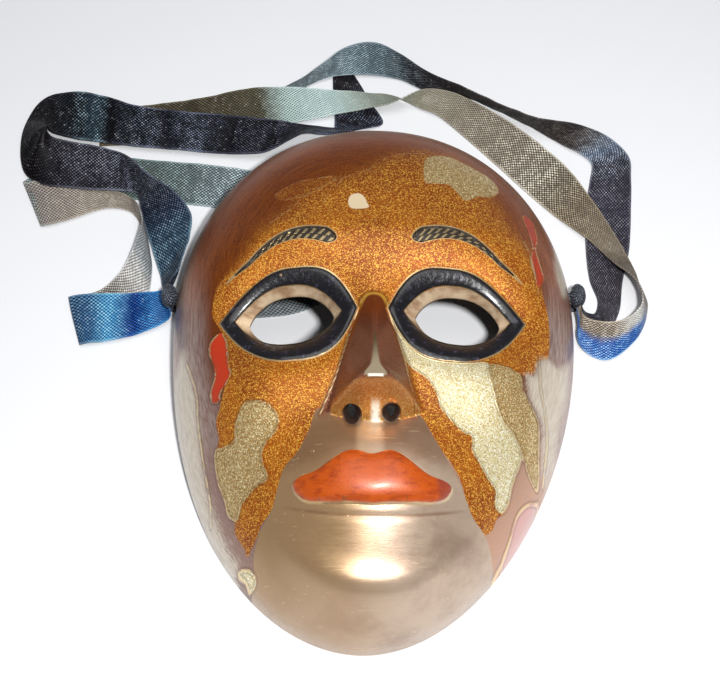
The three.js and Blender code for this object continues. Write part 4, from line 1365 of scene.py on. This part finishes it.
f = Finish("lacquered_brass")
place = f.node("TexCoord").outputs["Object"]
x, y = f.attribute("plan_x"), f.attribute("plan_y")
away = f.math("ABSOLUTE", x)
ring_at = f.attribute("ring")
sweep_at = f.attribute("sweep", "Vector")
clouds = f.noise(place, 60.0, 4.0)
streaks = f.noise(sweep_at, 1.0, 5.0, 0.65)
fine_streaks = f.noise(f.stretched(sweep_at, (1.6, 1.6, 3.5)), 1.0, 4.0, 0.7)
wobble = f.times(f.plus(f.noise(place, 420.0, 3.0), -0.5), WOBBLE)
flakes = f.cells(place, FLAKES_PER_METRE)
coarse_flakes = f.cells(place, FLAKES_PER_METRE * 0.8)


def field(name, softness=0.12):
    """1 inside a field and 0 outside it, with a wobbling edge of about the softness."""
    return f.ramp(f.plus(f.attribute(name), wobble), -softness, softness)


def soft_field(name):
    """The same, sharp on the cheeks and fading over 5 mm each way on the forehead."""
    softness = f.ramp(y, 16.0, 38.0, 0.12, 5.0)
    return f.ramp(f.math("DIVIDE", f.plus(f.attribute(name), wobble), softness), -1.0, 1.0)


def glitter(ground, light, dark, strength=0.68):
    """The ground with a painted highlight on its brightest cells and painted shade on its darkest."""
    lit = f.blend(f.ramp(flakes[0], 0.55, 1.0, 0.0, strength), ground, light)
    lit = f.blend(f.ramp(coarse_flakes[0], 0.86, 1.0, 0.0, strength), lit, light)
    return f.blend(f.ramp(flakes[1], 0.4, 0.0, 0.0, 0.8 * strength), lit, dark)


def say_nodes(what):
    """Prints how many nodes the finish of the mask has by now."""
    print(what, "brings it to", len(f.nodes), "nodes")


say_nodes("what the finish reads")

# %% [markdown]
# Outside the fields the metal is lacquered copper brown over the forehead, and brushed
# mauve and silver down the side walls, where hands and polishing have thinned it.

# %% The ground
ground = f.blend(f.ramp(streaks, 0.3, 0.7), BROWN, COPPER)
dusty = f.times(f.ramp(ring_at, 0.74, 0.9), f.ramp(y, 40.0, 66.0), f.ramp(streaks, 0.62, 0.35, 0.25, 0.85))
ground = f.blend(dusty, ground, DUSTY)
edge = f.times(f.ramp(ring_at, 0.88, 0.97), f.ramp(x, 34.0, 10.0), f.ramp(streaks, 0.3, 0.5, 0.4, 1.0))
ground = f.blend(edge, ground, OLIVE_EDGE)
wall = f.blend(f.ramp(streaks, 0.38, 0.6), MAUVE, GREY_MAUVE)
lower = f.blend(f.ramp(x, -10.0, 10.0), MAUVE, SALMON)
lower = f.blend(f.ramp(fine_streaks, 0.45, 0.65, 0.0, 0.6), lower, GREY_MAUVE)
wall = f.blend(f.ramp(y, -22.0, -42.0), wall, lower)
brown = f.times(f.ramp(ring_at, 0.86, 0.76), f.ramp(y, -30.0, -12.0))
wall = f.blend(brown, wall, f.blend(0.3, BROWN, COPPER))
ground = f.blend(f.ramp(y, 8.0, 34.0), wall, glitter(ground, GOLD, GOLD_DARK, 0.5))
coat = coat_of(ground, 0.6, f.ramp(fine_streaks, 0.3, 0.7, 0.34, 0.5), 0.2, 0.15)
say_nodes("the ground")

# %% [markdown]
# The brass of the chin and the upper lip was never lacquered. It has fine brushing across
# the face, a tarnish in soft clouds, scuffs, and small bright specks.

# %% Bare brass
PHILTRUM_X = -1.5
SCRATCH_X, SCRATCH_Y, SCRATCH_SLOPE = -11.5, -41.7, 0.3

brushing = f.noise(f.stretched(place, (60.0, 900.0, 900.0)), 1.0, 3.0, 0.7)
tarnish = f.ramp(f.noise(place, 42.0, 5.0, 0.6), 0.4, 0.66)
bare = f.blend(tarnish, BARE_BRASS, OLD_BRASS)
# The left of the chin is yellower, a tarnish of its own, and darker by a painted shade.
yellow_and_shaded_left = f.times(f.ramp(x, 10.0, -12.0, 0.0, 0.9), f.ramp(y, -84.0, -66.0, 0.7, 1.0))
bare = f.blend(yellow_and_shaded_left, bare, BARE_YELLOW)
# Beside the groove over the lips a painted shade darkens the brass, and down its middle a
# painted highlight lightens it.
beside = f.times(f.ramp(y, -46.0, -39.0), f.ramp(f.gap(x, PHILTRUM_X), 2.6, 5.0))
bare = f.blend(f.times(beside, 0.7), bare, PAINTED_SHADE_BRASS)
painted_highlight_in_groove = f.times(f.ramp(y, -39.5, -36.0), f.ramp(f.gap(x, PHILTRUM_X), 4.4, 3.2))
bare = f.blend(f.times(painted_highlight_in_groove, 0.1), bare, REVEAL)
# A few dark scratches slant over the left of the upper lip.
slant = f.plus(f.plus(y, -SCRATCH_Y), f.times(x, -SCRATCH_SLOPE))
broken = f.ramp(f.noise(f.stretched(place, (150.0, 900.0, 900.0)), 1.0), 0.48, 0.58)
scratched = f.times(f.ramp(f.gap(slant, 0.0), 1.6, 0.4), f.ramp(f.gap(x, SCRATCH_X), 6.0, 4.0), broken)
bare = f.blend(f.times(scratched, 0.8), bare, SCRATCH)
# A painted shade darkens the crease between the lower lip and the chin.
bend = f.math("MULTIPLY_ADD", f.times(x, x), -CREASE_BEND, f.plus(y, -CREASE_Y))
creased = f.times(f.ramp(f.gap(bend, 0.0), 0.7, 0.1), f.ramp(away, 29.0, 18.0))
bare = f.blend(f.times(creased, 0.55), bare, PAINTED_SHADE_BRASS)
scuffs = f.ramp(f.noise(f.stretched(place, (45.0, 1500.0, 600.0)), 1.0, 2.0, 0.5), 0.66, 0.74)
specks = f.times(f.ramp(f.noise(place, 640.0, 2.0), 0.735, 0.76), f.ramp(f.noise(place, 90.0), 0.5, 0.6))
bare = f.blend(f.math("MAXIMUM", f.times(scuffs, 0.3), f.times(specks, 0.9)), bare, BRIGHT_BRASS)
brass = coat_of(bare, 0.5, f.ramp(brushing, 0.3, 0.7, 0.3, 0.42), 0.0, 0.5)
bright = coat_of(BRIGHT_BRASS, 0.9, 0.28, 0.0, 0.0)
say_nodes("bare brass")

# %% [markdown]
# The lacquers of the fields: the gold is bright round the eyes, browner below, and copper
# on the top of the forehead. Each field is laid over what is under it by its own signed
# distance, so a later one covers an earlier one.

# %% The fields of lacquer
gold_ground = f.blend(f.ramp(clouds, 0.38, 0.66), GOLD, GOLD_BROWN)
gold_ground = f.blend(f.ramp(y, 34.0, 58.0, 0.0, 0.9), gold_ground, GOLD_TOP)
gold = coat_of(glitter(gold_ground, GOLD_LIGHT, GOLD_DARK, 0.8), 0.4, 0.44, 1.0, 0.12)
olive = coat_of(glitter(OLIVE, OLIVE_LIGHT, OLIVE_DARK, 0.85), 0.45, 0.45, 0.9, 0.25)
pale = coat_of(glitter(PALE, PALE_LIGHT, PALE_DARK, 1.0), 0.45, 0.45, 0.8, 0.25)
white = coat_of(f.blend(f.ramp(streaks, 0.3, 0.7), WHITE, WHITE_DARK), 0.3, 0.4, 0.0, 0.3)
worn_red = f.blend(f.times(f.ramp(x, 10.0, 30.0, 0.0, 0.8), f.ramp(fine_streaks, 0.42, 0.6)), RED, BROWN)
red = coat_of(worn_red, 0.0, 0.5, 0.0, 0.1)
pink = coat_of(PINK, 0.2, 0.35, 0.0, 0.5)
# The silver white was brushed on, so its edge is ragged along the streaks.
ragged = f.math("MULTIPLY_ADD", f.plus(fine_streaks, -0.5), 9.0, f.attribute("white"))
for over, amount in ((gold, soft_field("gold")), (brass, field("bare")), (white, f.ramp(ragged, -1.0, 1.6)),
                     (red, field("red")), (pale, field("pale")), (olive, field("olive", 0.4)),
                     (pink, field("pink"))):
    coat = f.lay(coat, over, amount)
leaf = dict(gold, colour=glitter(GOLD_TOP, GOLD_LIGHT, GOLD_DARK))
coat = f.lay(coat, leaf, f.times(field("leaf", 0.6), 0.5))
say_nodes("the lacquer")

# %% [markdown]
# The nose has copper on its flanks, a flat front that goes from dark olive at the top to
# light brass at the tip, and a gold arch at its root. A painted highlight lies along the edge
# of the tip, and another between the nostrils.

# %% The nose
copper = f.blend(f.ramp(fine_streaks, 0.35, 0.7), NOSE_COPPER, NOSE_LIGHT)
copper = f.blend(f.ramp(y, -4.0, 9.0, 0.0, 0.8), copper, GOLD_BROWN)
coat = f.lay(coat, coat_of(copper, 0.7, 0.36, 0.15, 0.35), field("nose", 1.5))
facet = coat_of(f.blend(f.ramp(y, -6.0, -19.0), FACET_DARK, FACET), 0.6, 0.36, 0.0, 0.3)
coat = f.lay(coat, facet, f.times(f.ramp(f.attribute("nose_flat"), -0.3, 0.3), f.ramp(y, 2.0, -8.0)))
tip = glitter(UNDER_TIP, UNDER_LIGHT, UNDER_DARK)
tip = f.blend(f.ramp(y, -24.5, -27.5), f.blend(0.6, tip, UNDER_DARK), tip)
coat = f.lay(coat, coat_of(tip, 0.75, 0.35, 0.5, 0.35), f.ramp(f.attribute("nose_under"), -0.2, 0.5))
# A gold line runs inside the nose's outline up to an arch at its root, where a painted highlight lightens it.
arch = f.times(f.ramp(f.gap(f.attribute("nose"), 0.7), 0.9, 0.2), f.ramp(y, -14.0, 9.0, 0.0, 0.9),
               f.ramp(y, 14.5, 13.5))
coat = f.lay(coat, {"colour": f.blend(f.ramp(y, 7.0, 12.0), GOLD, GOLD_LIGHT)}, arch)
# Two painted highlights in near-white: a line along the edge of the tip, and a spot between the nostrils.
painted_highlight = {"colour": PAINTED_HIGHLIGHT_COLOUR, "metallic": 0.2, "roughness": 0.3, "flake": 0.0}
tip_highlight = f.ramp(f.gap(y, NOSE_TIP_Y), 0.5, 0.25)
coat = f.lay(coat, painted_highlight, f.times(tip_highlight, f.ramp(away, 2.6, 1.8)))
# The spot between the nostrils is a painted highlight.
middle = f.times(f.ramp(away, 1.9, 0.5), f.ramp(y, -25.6, -27.6), f.ramp(f.attribute("nose_under"), 0.0, 0.3))
coat = f.lay(coat, painted_highlight, f.times(middle, f.ramp(flakes[0], 0.0, 0.5, 0.55, 1.0)))
say_nodes("the nose")

# %% [markdown]
# Thin raised lines of brass part the fields, as the walls of an enameller's cells do. Beside
# them a painted shadow darkens the lacquer.

# %% The lines
line_at = f.plus(f.attribute("line"), f.times(wobble, 0.4))
line = f.times(f.ramp(line_at, 0.34, 0.12), f.ramp(f.noise(place, 260.0), 0.36, 0.5))
line_colour = f.blend(f.ramp(y, 30.0, 48.0, 0.0, 0.75), LINE_BRASS, LINE_GOLD)
# A painted shadow darkens the lacquer beside each raised line.
shadow_beside_line = f.times(f.ramp(line_at, 0.85, 0.5), f.ramp(line_at, 0.3, 0.45), f.ramp(y, 40.0, 20.0))
coat = f.lay(coat, {"colour": OLIVE_DARK}, f.times(shadow_beside_line, 0.4))
coat = f.lay(coat, dict(bright, colour=line_colour), f.times(line, f.ramp(y, 22.0, 34.0, 0.85, 0.6)))
chip = {"colour": CHIP, "metallic": 0.3, "roughness": 0.45, "flake": 0.0}
coat = f.lay(coat, chip, field("chip", 0.15))
say_nodes("the raised lines")

# %% [markdown]
# The lips are an orange enamel with a sparkle in it, darker where it is scratched, worn
# through along the outline, and with one dark corner.

# %% The lips
LIP_CORNER_X = 20.0

scratch = f.noise(f.stretched(place, (160.0, 500.0, 500.0)), 1.0, 4.0, 0.7)
enamel = f.blend(f.ramp(scratch, 0.42, 0.72), LIP_RED, LIP_DARK)
corner = f.plus(f.gap(x, LIP_CORNER_X), f.times(wobble, 5.0))
enamel = f.blend(f.ramp(corner, 3.2, 1.2, 0.0, 0.6), enamel, LIP_CORNER)
worn = f.times(f.ramp(f.noise(place, 330.0, 3.0), 0.62, 0.68), f.ramp(f.attribute("lips"), 1.8, 0.4))
enamel = f.blend(f.times(worn, 0.8), enamel, LIP_WORN)
enamel = f.blend(f.ramp(flakes[0], 0.86, 1.0, 0.0, 0.6), enamel, GOLD)
lip_rim = f.times(f.ramp(f.attribute("lips"), -0.22, -0.08), f.ramp(f.noise(place, 180.0), 0.42, 0.55))
coat = f.lay(coat, bright, f.times(lip_rim, 0.45))
lip_edge = f.ramp(f.plus(f.attribute("lips"), f.times(wobble, 0.5)), 0.15, 0.4)
coat = f.lay(coat, coat_of(enamel, 0.1, 0.36, 2.5, 0.15), lip_edge)
say_nodes("the lips")

# %% [markdown]
# The brows are sunk into the metal and filled with black. Over it lie short strokes of
# brass in two rows, slanted against each other like the strands of a rope.

# %% The brows
STROKES_PER_BROW = 14.0

across, along = f.attribute("brow_across"), f.attribute("brow_along")
upper_row = f.math("GREATER_THAN", across, 0.0)
slanted = f.times(across, f.ramp(x, -1.0, 1.0, 0.3, -0.42))
phase = f.plus(f.times(along, STROKES_PER_BROW), slanted)
phase = f.math("FRACT", f.plus(phase, f.times(upper_row, f.ramp(x, -1.0, 1.0, 0.15, 0.5))))
stroke = f.ramp(f.gap(phase, 0.5), 0.27, 0.15)
stroke = f.times(stroke, f.ramp(f.attribute("brow"), 0.55, 0.8), f.ramp(f.gap(across, 0.0), 0.05, 0.25))
coat = f.lay(coat, bright, f.times(f.ramp(f.attribute("brow"), -0.3, -0.1), 0.6))
coat = f.lay(coat, coat_of(BROW_BLACK, 0.0, 0.5, 0.0, 0.3), f.ramp(f.attribute("brow"), 0.0, 0.25))
coat = f.lay(coat, dict(bright, colour=STROKE), f.times(stroke, 0.85))
say_nodes("the brows")

# %% [markdown]
# Round each eye lies a ring of thick black enamel between two brass edges. It is chipped,
# and painted highlights lie on it in mottled spots. From its inner edge the bare metal goes
# down to the opening.

# %% The eye rings
eye = f.attribute("eye")
eye_wobbled = f.plus(eye, f.times(wobble, 0.07))
in_ring = f.times(f.ramp(eye_wobbled, -0.04, 0.02), f.ramp(eye_wobbled, 1.0, 0.95))
eye_edge = f.ramp(f.noise(place, 120.0), 0.3, 0.6, 0.25, 1.0)
coat = f.lay(coat, bright, f.times(f.ramp(eye_wobbled, -0.1, -0.07), f.ramp(eye, 1.6, 1.0), eye_edge))
reveal_streaks = f.noise(f.stretched(place, (160.0, 420.0, 160.0)), 1.0, 4.0)
reveal = f.blend(f.ramp(reveal_streaks, 0.38, 0.7), REVEAL, REVEAL_DARK)
coat = f.lay(coat, coat_of(reveal, 0.3, 0.45, 0.0, 0.0), f.ramp(eye, 1.0, 1.04))
# Mottled spots of painted highlight on the black enamel.
mottled_highlight = f.ramp(f.noise(place, 420.0, 4.0, 0.7), 0.55, 0.72, 0.0, 0.5)
coat = f.lay(coat, coat_of(f.blend(mottled_highlight, BLACK, BLACK_HIGHLIGHT), 0.0, 0.3, 0.0, 0.7), in_ring)
chips = f.ramp(f.noise(place, 300.0, 4.0, 0.7), 0.7, 0.73)
coat = f.lay(coat, {"colour": REVEAL_DARK, "metallic": 0.4, "roughness": 0.45}, f.times(in_ring, chips, 0.8))
say_nodes("the eye rings")

# %% [markdown]
# The inside is the rough skin of the casting, and the nostrils are darkened by a painted shade.

# %% The inside
raw = f.blend(f.ramp(clouds, 0.35, 0.65), RAW_BRASS, RAW_DARK)
inside = f.ramp(f.attribute("inside"), 0.3, 0.7)
coat = f.lay(coat, coat_of(raw, 0.8, 0.55, 0.0, 0.0), inside)
# Painted shade darkens the channel of each nostril.
coat = f.lay(coat, coat_of(NOSTRIL_SHADE, 0.0, 0.7, 0.0, 0.0), f.ramp(f.attribute("nostril"), 0.12, 0.3))
say_nodes("the inside")

# %% [markdown]
# What is too fine for the mesh is a bump: flakes, lines, strokes, brushing and the mottled
# black. Their heights are in millimetres and are simply added up.

# %% Fine relief, and the coats into the shader
FLAKE_HEIGHT, LINE_HEIGHT, STROKE_HEIGHT, MOTTLE_HEIGHT = 0.014, 0.12, 0.2, 0.22
BRUSHING_HEIGHT, STREAK_HEIGHT, RAW_HEIGHT = 0.006, 0.03, 0.25
MM = 0.001

height = f.times(flakes[0], coat["flake"], FLAKE_HEIGHT)
for part in (f.times(f.ramp(line_at, 0.5, 0.0), LINE_HEIGHT), f.times(stroke, STROKE_HEIGHT),
             f.times(f.noise(place, 620.0, 4.0), in_ring, MOTTLE_HEIGHT), f.times(brushing, BRUSHING_HEIGHT),
             f.times(fine_streaks, STREAK_HEIGHT), f.times(f.noise(place, 500.0, 4.0), inside, RAW_HEIGHT)):
    height = f.plus(height, part)
bump = f.node("Bump", {"Height": height, "Distance": MM, "Strength": 1.0})
for socket, value in (("Base Color", coat["colour"]), ("Metallic", coat["metallic"]),
                      ("Roughness", coat["roughness"]), ("Coat Weight", coat["coat"]),
                      ("Normal", bump.outputs[0]), ("Coat Roughness", 0.2)):
    f.put(f.shader.inputs[socket], value)
mask.data.materials.append(f.material)
say_nodes("the fine relief")

# %% [markdown]
# The ribbons are polyester satin. Up close the weave is a grid of tiny floats set on the
# diagonal, each one with a painted highlight on its crown and painted shade at its ends. The
# colour changes along each tail, from blue to grey and from navy to black, partly by the dye
# and partly by the painted highlights and shade of the folds, and where a fold catches the
# light painted highlights turn the crowns almost white. The gloss itself is stretched along
# the threads and kept low, because the highlight of each fold is already painted into the
# colour.

# %% Satin
WEAVE_PITCH = 1.32
WANDER = 5.0
SELVEDGE = 1.0
FLOAT_HEIGHT, SELVEDGE_HEIGHT = 0.05, 0.08
SATIN_GLOSS = {
    "Roughness": 0.42,
    "Anisotropic": 0.6,
    "Sheen Weight": 0.03,
    "Sheen Roughness": 0.4,
    "Specular IOR Level": 0.12,
}


def colours_at(rows):
    """Rows of a distance in millimetres and a colour of the screen, as marks for a finish."""
    return [(distance, shown(*colour)) for distance, *colour in rows]


def satin(name, dye_and_fold_light, glint, sparkle=1.0, second=None):
    """Dye and glint are colours at distances along the tail, carried on between: the dye holds
    the painted highlights and shade of the folds, and the glint is a painted highlight.

    The floats are the product of a wave across and a wave along. A second dye and glint
    may take the first ones' place beyond a line along the ribbon, up to a distance.
    """
    f = Finish(name)
    place = f.stretched(f.node("UVMap", uv_map="weave").outputs[0], (1000.0, 1000.0, 1.0))
    across, along = f.node("SeparateXYZ", {"Vector": place}).outputs[:2]
    wander = f.times(f.plus(f.noise(place, 0.35, 2.0), -0.5), WANDER)
    moved = f.plus(along, wander)
    base, light = f.stops(moved, colours_at(dye_and_fold_light)), f.stops(moved, colours_at(glint))
    if second:
        (second_dye, second_glint), edge, reach = second
        share = f.times(f.ramp(f.plus(across, f.times(wander, 0.6)), edge - 3, edge + 3),
                        f.ramp(along, reach + 3, reach - 3))
        base = f.blend(share, base, shown(*second_dye))
        light = f.blend(share, light, shown(*second_glint))

    waves = [f.math("COSINE", f.times(way, 2 * np.pi / WEAVE_PITCH)) for way in (across, along)]
    grid = f.math("MULTIPLY_ADD", f.times(*waves), 0.5, 0.5)
    cells = f.cells(place, 1.1)
    uneven = f.ramp(cells[0], 0.1, 1.0, 0.15, 1.0)
    # Patches of painted highlight lie along the ribbon, where small creases catch the light.
    creased = f.ramp(f.noise(f.stretched(place, (0.6, 1.5, 1.0)), 0.14, 3.0), 0.36, 0.66, 0.45, 1.7)
    crown = f.times(f.ramp(grid, 0.54, 0.78), f.times(uneven, creased))
    crown = f.math("MINIMUM", crown, 1.0)
    # Painted shade darkens the ends of each float, and a painted highlight lightens its crown.
    colour = f.blend(f.ramp(grid, 0.5, 0.2), base, f.blend(0.85, base, (0.0, 0.0, 0.0)))
    colour = f.blend(crown, colour, light)
    spark = f.times(f.ramp(cells[1], 0.82, 0.98), f.times(crown, 0.5 * sparkle))
    colour = f.blend(spark, colour, f.blend(0.5, light, (1.0, 1.0, 1.0)))
    selvedge = f.ramp(f.gap(across, RIBBON_WIDTH / 2), RIBBON_WIDTH / 2 - SELVEDGE,
                      RIBBON_WIDTH / 2 - 0.3 * SELVEDGE)
    # The selvedges are lightened towards the glint colour, a painted highlight along the edges.
    colour = f.blend(f.times(selvedge, 0.35), colour, light)
    height = f.plus(f.times(grid, FLOAT_HEIGHT), f.times(selvedge, SELVEDGE_HEIGHT))
    bump = f.node("Bump", {"Height": height, "Distance": MM, "Strength": 0.7})
    f.put(f.shader.inputs["Base Color"], colour)
    f.put(f.shader.inputs["Normal"], bump.outputs[0])
    f.put(f.shader.inputs["Tangent"], f.node("Tangent", direction_type="UV_MAP", uv_map="weave").outputs[0])
    for socket, value in SATIN_GLOSS.items():
        f.shader.inputs[socket].default_value = value
    return f.material


# %% [markdown]
# The dye of each tail, with the painted highlights and shade of its folds, and the painted
# glint on its crowns, as rows of a distance along the tail in millimetres and a colour. They
# are listed fold by fold.

# %% The dyes, with painted light and shade, of the four tails
NAVY, INK, SOOT, PITCH = (36, 46, 64), (12, 12, 18), (34, 31, 38), (16, 14, 17)
SILVER, TAUPE, SAGE, WARM_GLINT = (186, 182, 176), (126, 116, 104), (84, 92, 86), (224, 210, 188)
BLUE, DEEP_BLUE = (50, 100, 160), (20, 46, 112)
DYES_AND_PAINTED_LIGHT = {
    "blue_tail": (
        "blue_satin",
        [(0, *DEEP_BLUE), (9, *BLUE), (17, *DEEP_BLUE), (25, 76, 150, 200), (31, 40, 80, 122),
         (36, 48, 80, 112), (42, *TAUPE), (52, 112, 106, 98), (62, *SILVER), (70, 116, 122, 126),
         (88, *TAUPE), (112, 150, 140, 130), (128, 140, 130, 124), (136, 84, 112, 114), (160, *SAGE),
         (185, 84, 94, 92), (205, 110, 122, 126), (300, 116, 120, 122)],
        [(0, 70, 130, 210), (10, 90, 180, 240), (17, 50, 100, 180), (25, 170, 230, 250),
         (33, 110, 150, 180), (44, 170, 162, 150), (63, 255, 255, 252), (74, 150, 156, 160),
         (104, *WARM_GLINT), (124, 190, 180, 166), (138, 130, 168, 170), (165, 140, 172, 172),
         (180, 150, 178, 178), (200, 220, 240, 244), (300, 150, 156, 160)],
    ),
    "black_tail": (
        "black_satin",
        [(0, *INK), (10, *NAVY), (20, 50, 70, 90), (32, *NAVY), (44, *INK), (58, *SOOT), (80, *SOOT),
         (88, *PITCH), (110, *PITCH), (120, *INK), (125, 36, 52, 62), (130, *PITCH), (146, *INK),
         (180, *PITCH), (246, 34, 30, 32)],
        [(0, 80, 90, 110), (20, 150, 190, 210), (34, 100, 112, 132), (60, 146, 150, 168),
         (78, 120, 122, 134), (87, 50, 46, 48), (108, 60, 56, 60), (117, 60, 70, 80),
         (121, 150, 176, 188), (124, 70, 84, 92), (127, 160, 190, 206), (131, 30, 28, 34),
         (146, 150, 160, 184), (152, 60, 62, 76), (162, 140, 150, 176), (172, 70, 72, 88),
         (190, 110, 112, 130), (202, 60, 60, 76), (215, 130, 140, 166), (246, 60, 60, 62)],
    ),
    "brown_tail": (
        "brown_satin",
        [(0, 90, 84, 74), (24, *TAUPE), (33, 196, 196, 190), (42, 110, 96, 84), (54, 96, 86, 76),
         (66, 116, 106, 92), (92, 108, 98, 84), (116, 124, 114, 100), (136, 134, 124, 110),
         (158, 138, 134, 116), (174, 150, 158, 144), (190, 184, 210, 206), (205, 170, 192, 186),
         (214, 78, 74, 60), (240, 66, 60, 48), (271, 84, 76, 60)],
        [(0, 190, 170, 146), (24, 232, 216, 192), (33, 255, 255, 250), (40, 170, 160, 146),
         (60, 150, 138, 122), (86, 190, 172, 140), (104, 255, 250, 230), (124, 226, 216, 196),
         (144, 180, 170, 152), (174, 190, 196, 180), (192, 240, 255, 252), (206, 210, 230, 224),
         (216, 110, 104, 82), (271, 124, 112, 88)],
    ),
    "dark_tail": (
        "dark_satin",
        [(0, *SOOT), (20, 62, 58, 62), (44, 50, 46, 54), (60, 60, 58, 68), (78, 44, 40, 48),
         (84, 84, 96, 114), (90, 50, 44, 44), (130, 40, 35, 36), (160, 36, 34, 38), (170, 74, 88, 96),
         (184, 94, 110, 118), (205, 80, 88, 92), (222, 76, 82, 84)],
        [(0, 96, 98, 110), (40, 116, 114, 124), (70, 120, 120, 136), (84, 200, 214, 234),
         (94, 112, 106, 100), (150, 84, 82, 84), (170, 150, 172, 180), (186, 190, 212, 220),
         (222, 140, 150, 152)],
    ),
}
# Near the knot the brown tail is blue at one edge: the dye and the glint, how wide the
# edge is, and how far along it reaches.
BLUE_BESIDE_BROWN = (((40, 84, 160), (150, 204, 250)), 9.0, 38)
for name, (label, dye_and_fold_light, glint) in DYES_AND_PAINTED_LIGHT.items():
    second = BLUE_BESIDE_BROWN if name == "brown_tail" else None
    tails[name][0].data.materials.append(satin(label, dye_and_fold_light, glint, second=second))
KNOT_DYE = [(0, 64, 66, 74), (30, 76, 80, 90)]
KNOT_GLINT = [(0, 120, 126, 138), (30, 140, 146, 158)]
knot_satin = satin("knot_satin", KNOT_DYE, KNOT_GLINT, 0.5)
for name in ("left_bight", "left_knot", "right_bight", "right_knot"):
    bpy.data.objects[name].data.materials.append(knot_satin)
print(len(DYES_AND_PAINTED_LIGHT) + 1, "satins")

# %% Floor cloth
FLOOR_COLOUR = (0.82, 0.825, 0.84)

floor_finish = Finish("pale_floor")
floor_finish.put(floor_finish.shader.inputs["Base Color"], FLOOR_COLOUR)
floor_finish.put(floor_finish.shader.inputs["Roughness"], 0.9)
floor.data.materials.append(floor_finish.material)
print("made", floor_finish.material.name)

# %% [markdown]
# A simulation can't guess that a folded band of cloth was once a flat strip. Here the tails
# are only counted; each one's length and cloth were printed when it was made.

# %% The tails, counted
print(len(tails), "sheets of cloth")

# %% [markdown]
# ## Light
#
# The photograph was taken with a small flash beside the lens. It stands a little to the
# right of the camera, because the shadows of the ribbons fall to the left of them. It is
# small, so that each flake and each edge of brass sparkles on its own. A wide, weak light
# far overhead and a faint blue room fill what the flash leaves dark.

# %% Flash, soft light and room
FLASH_FROM_LENS, FLASH_SIZE, FLASH_WATTS = (65, 10, 30), 0.035, 2.4
SOFT_PLACE, SOFT_SIZE, SOFT_WATTS = (40, 160, 1000), 1.0, 4
ROOM_COLOUR, ROOM_STRENGTH = (0.85, 0.9, 1, 1), 0.16


def area_light(name, place, size, watts):
    """A round light at a place of the plan, turned to the plan's origin."""
    light = bpy.data.lights.new(name, "AREA")
    light.shape = "DISK"
    light.size = size
    light.energy = watts
    obj = bpy.data.objects.new(name, light)
    obj.location = to_frame(place)
    direction = Vector(to_frame((0, 0, 0))) - obj.location
    obj.rotation_euler = direction.to_track_quat("-Z", "Y").to_euler()
    scene.collection.objects.link(obj)
    print(name, "light at", [round(v, 3) for v in obj.location])


area_light("flash", camera_place + FLASH_FROM_LENS, FLASH_SIZE, FLASH_WATTS)
area_light("soft", SOFT_PLACE, SOFT_SIZE, SOFT_WATTS)
world = bpy.data.worlds.new("room")
world.use_nodes = True
background = world.node_tree.nodes["Background"]
background.inputs["Color"].default_value = ROOM_COLOUR
background.inputs["Strength"].default_value = ROOM_STRENGTH
scene.world = world
scene.view_settings.view_transform = "Standard"
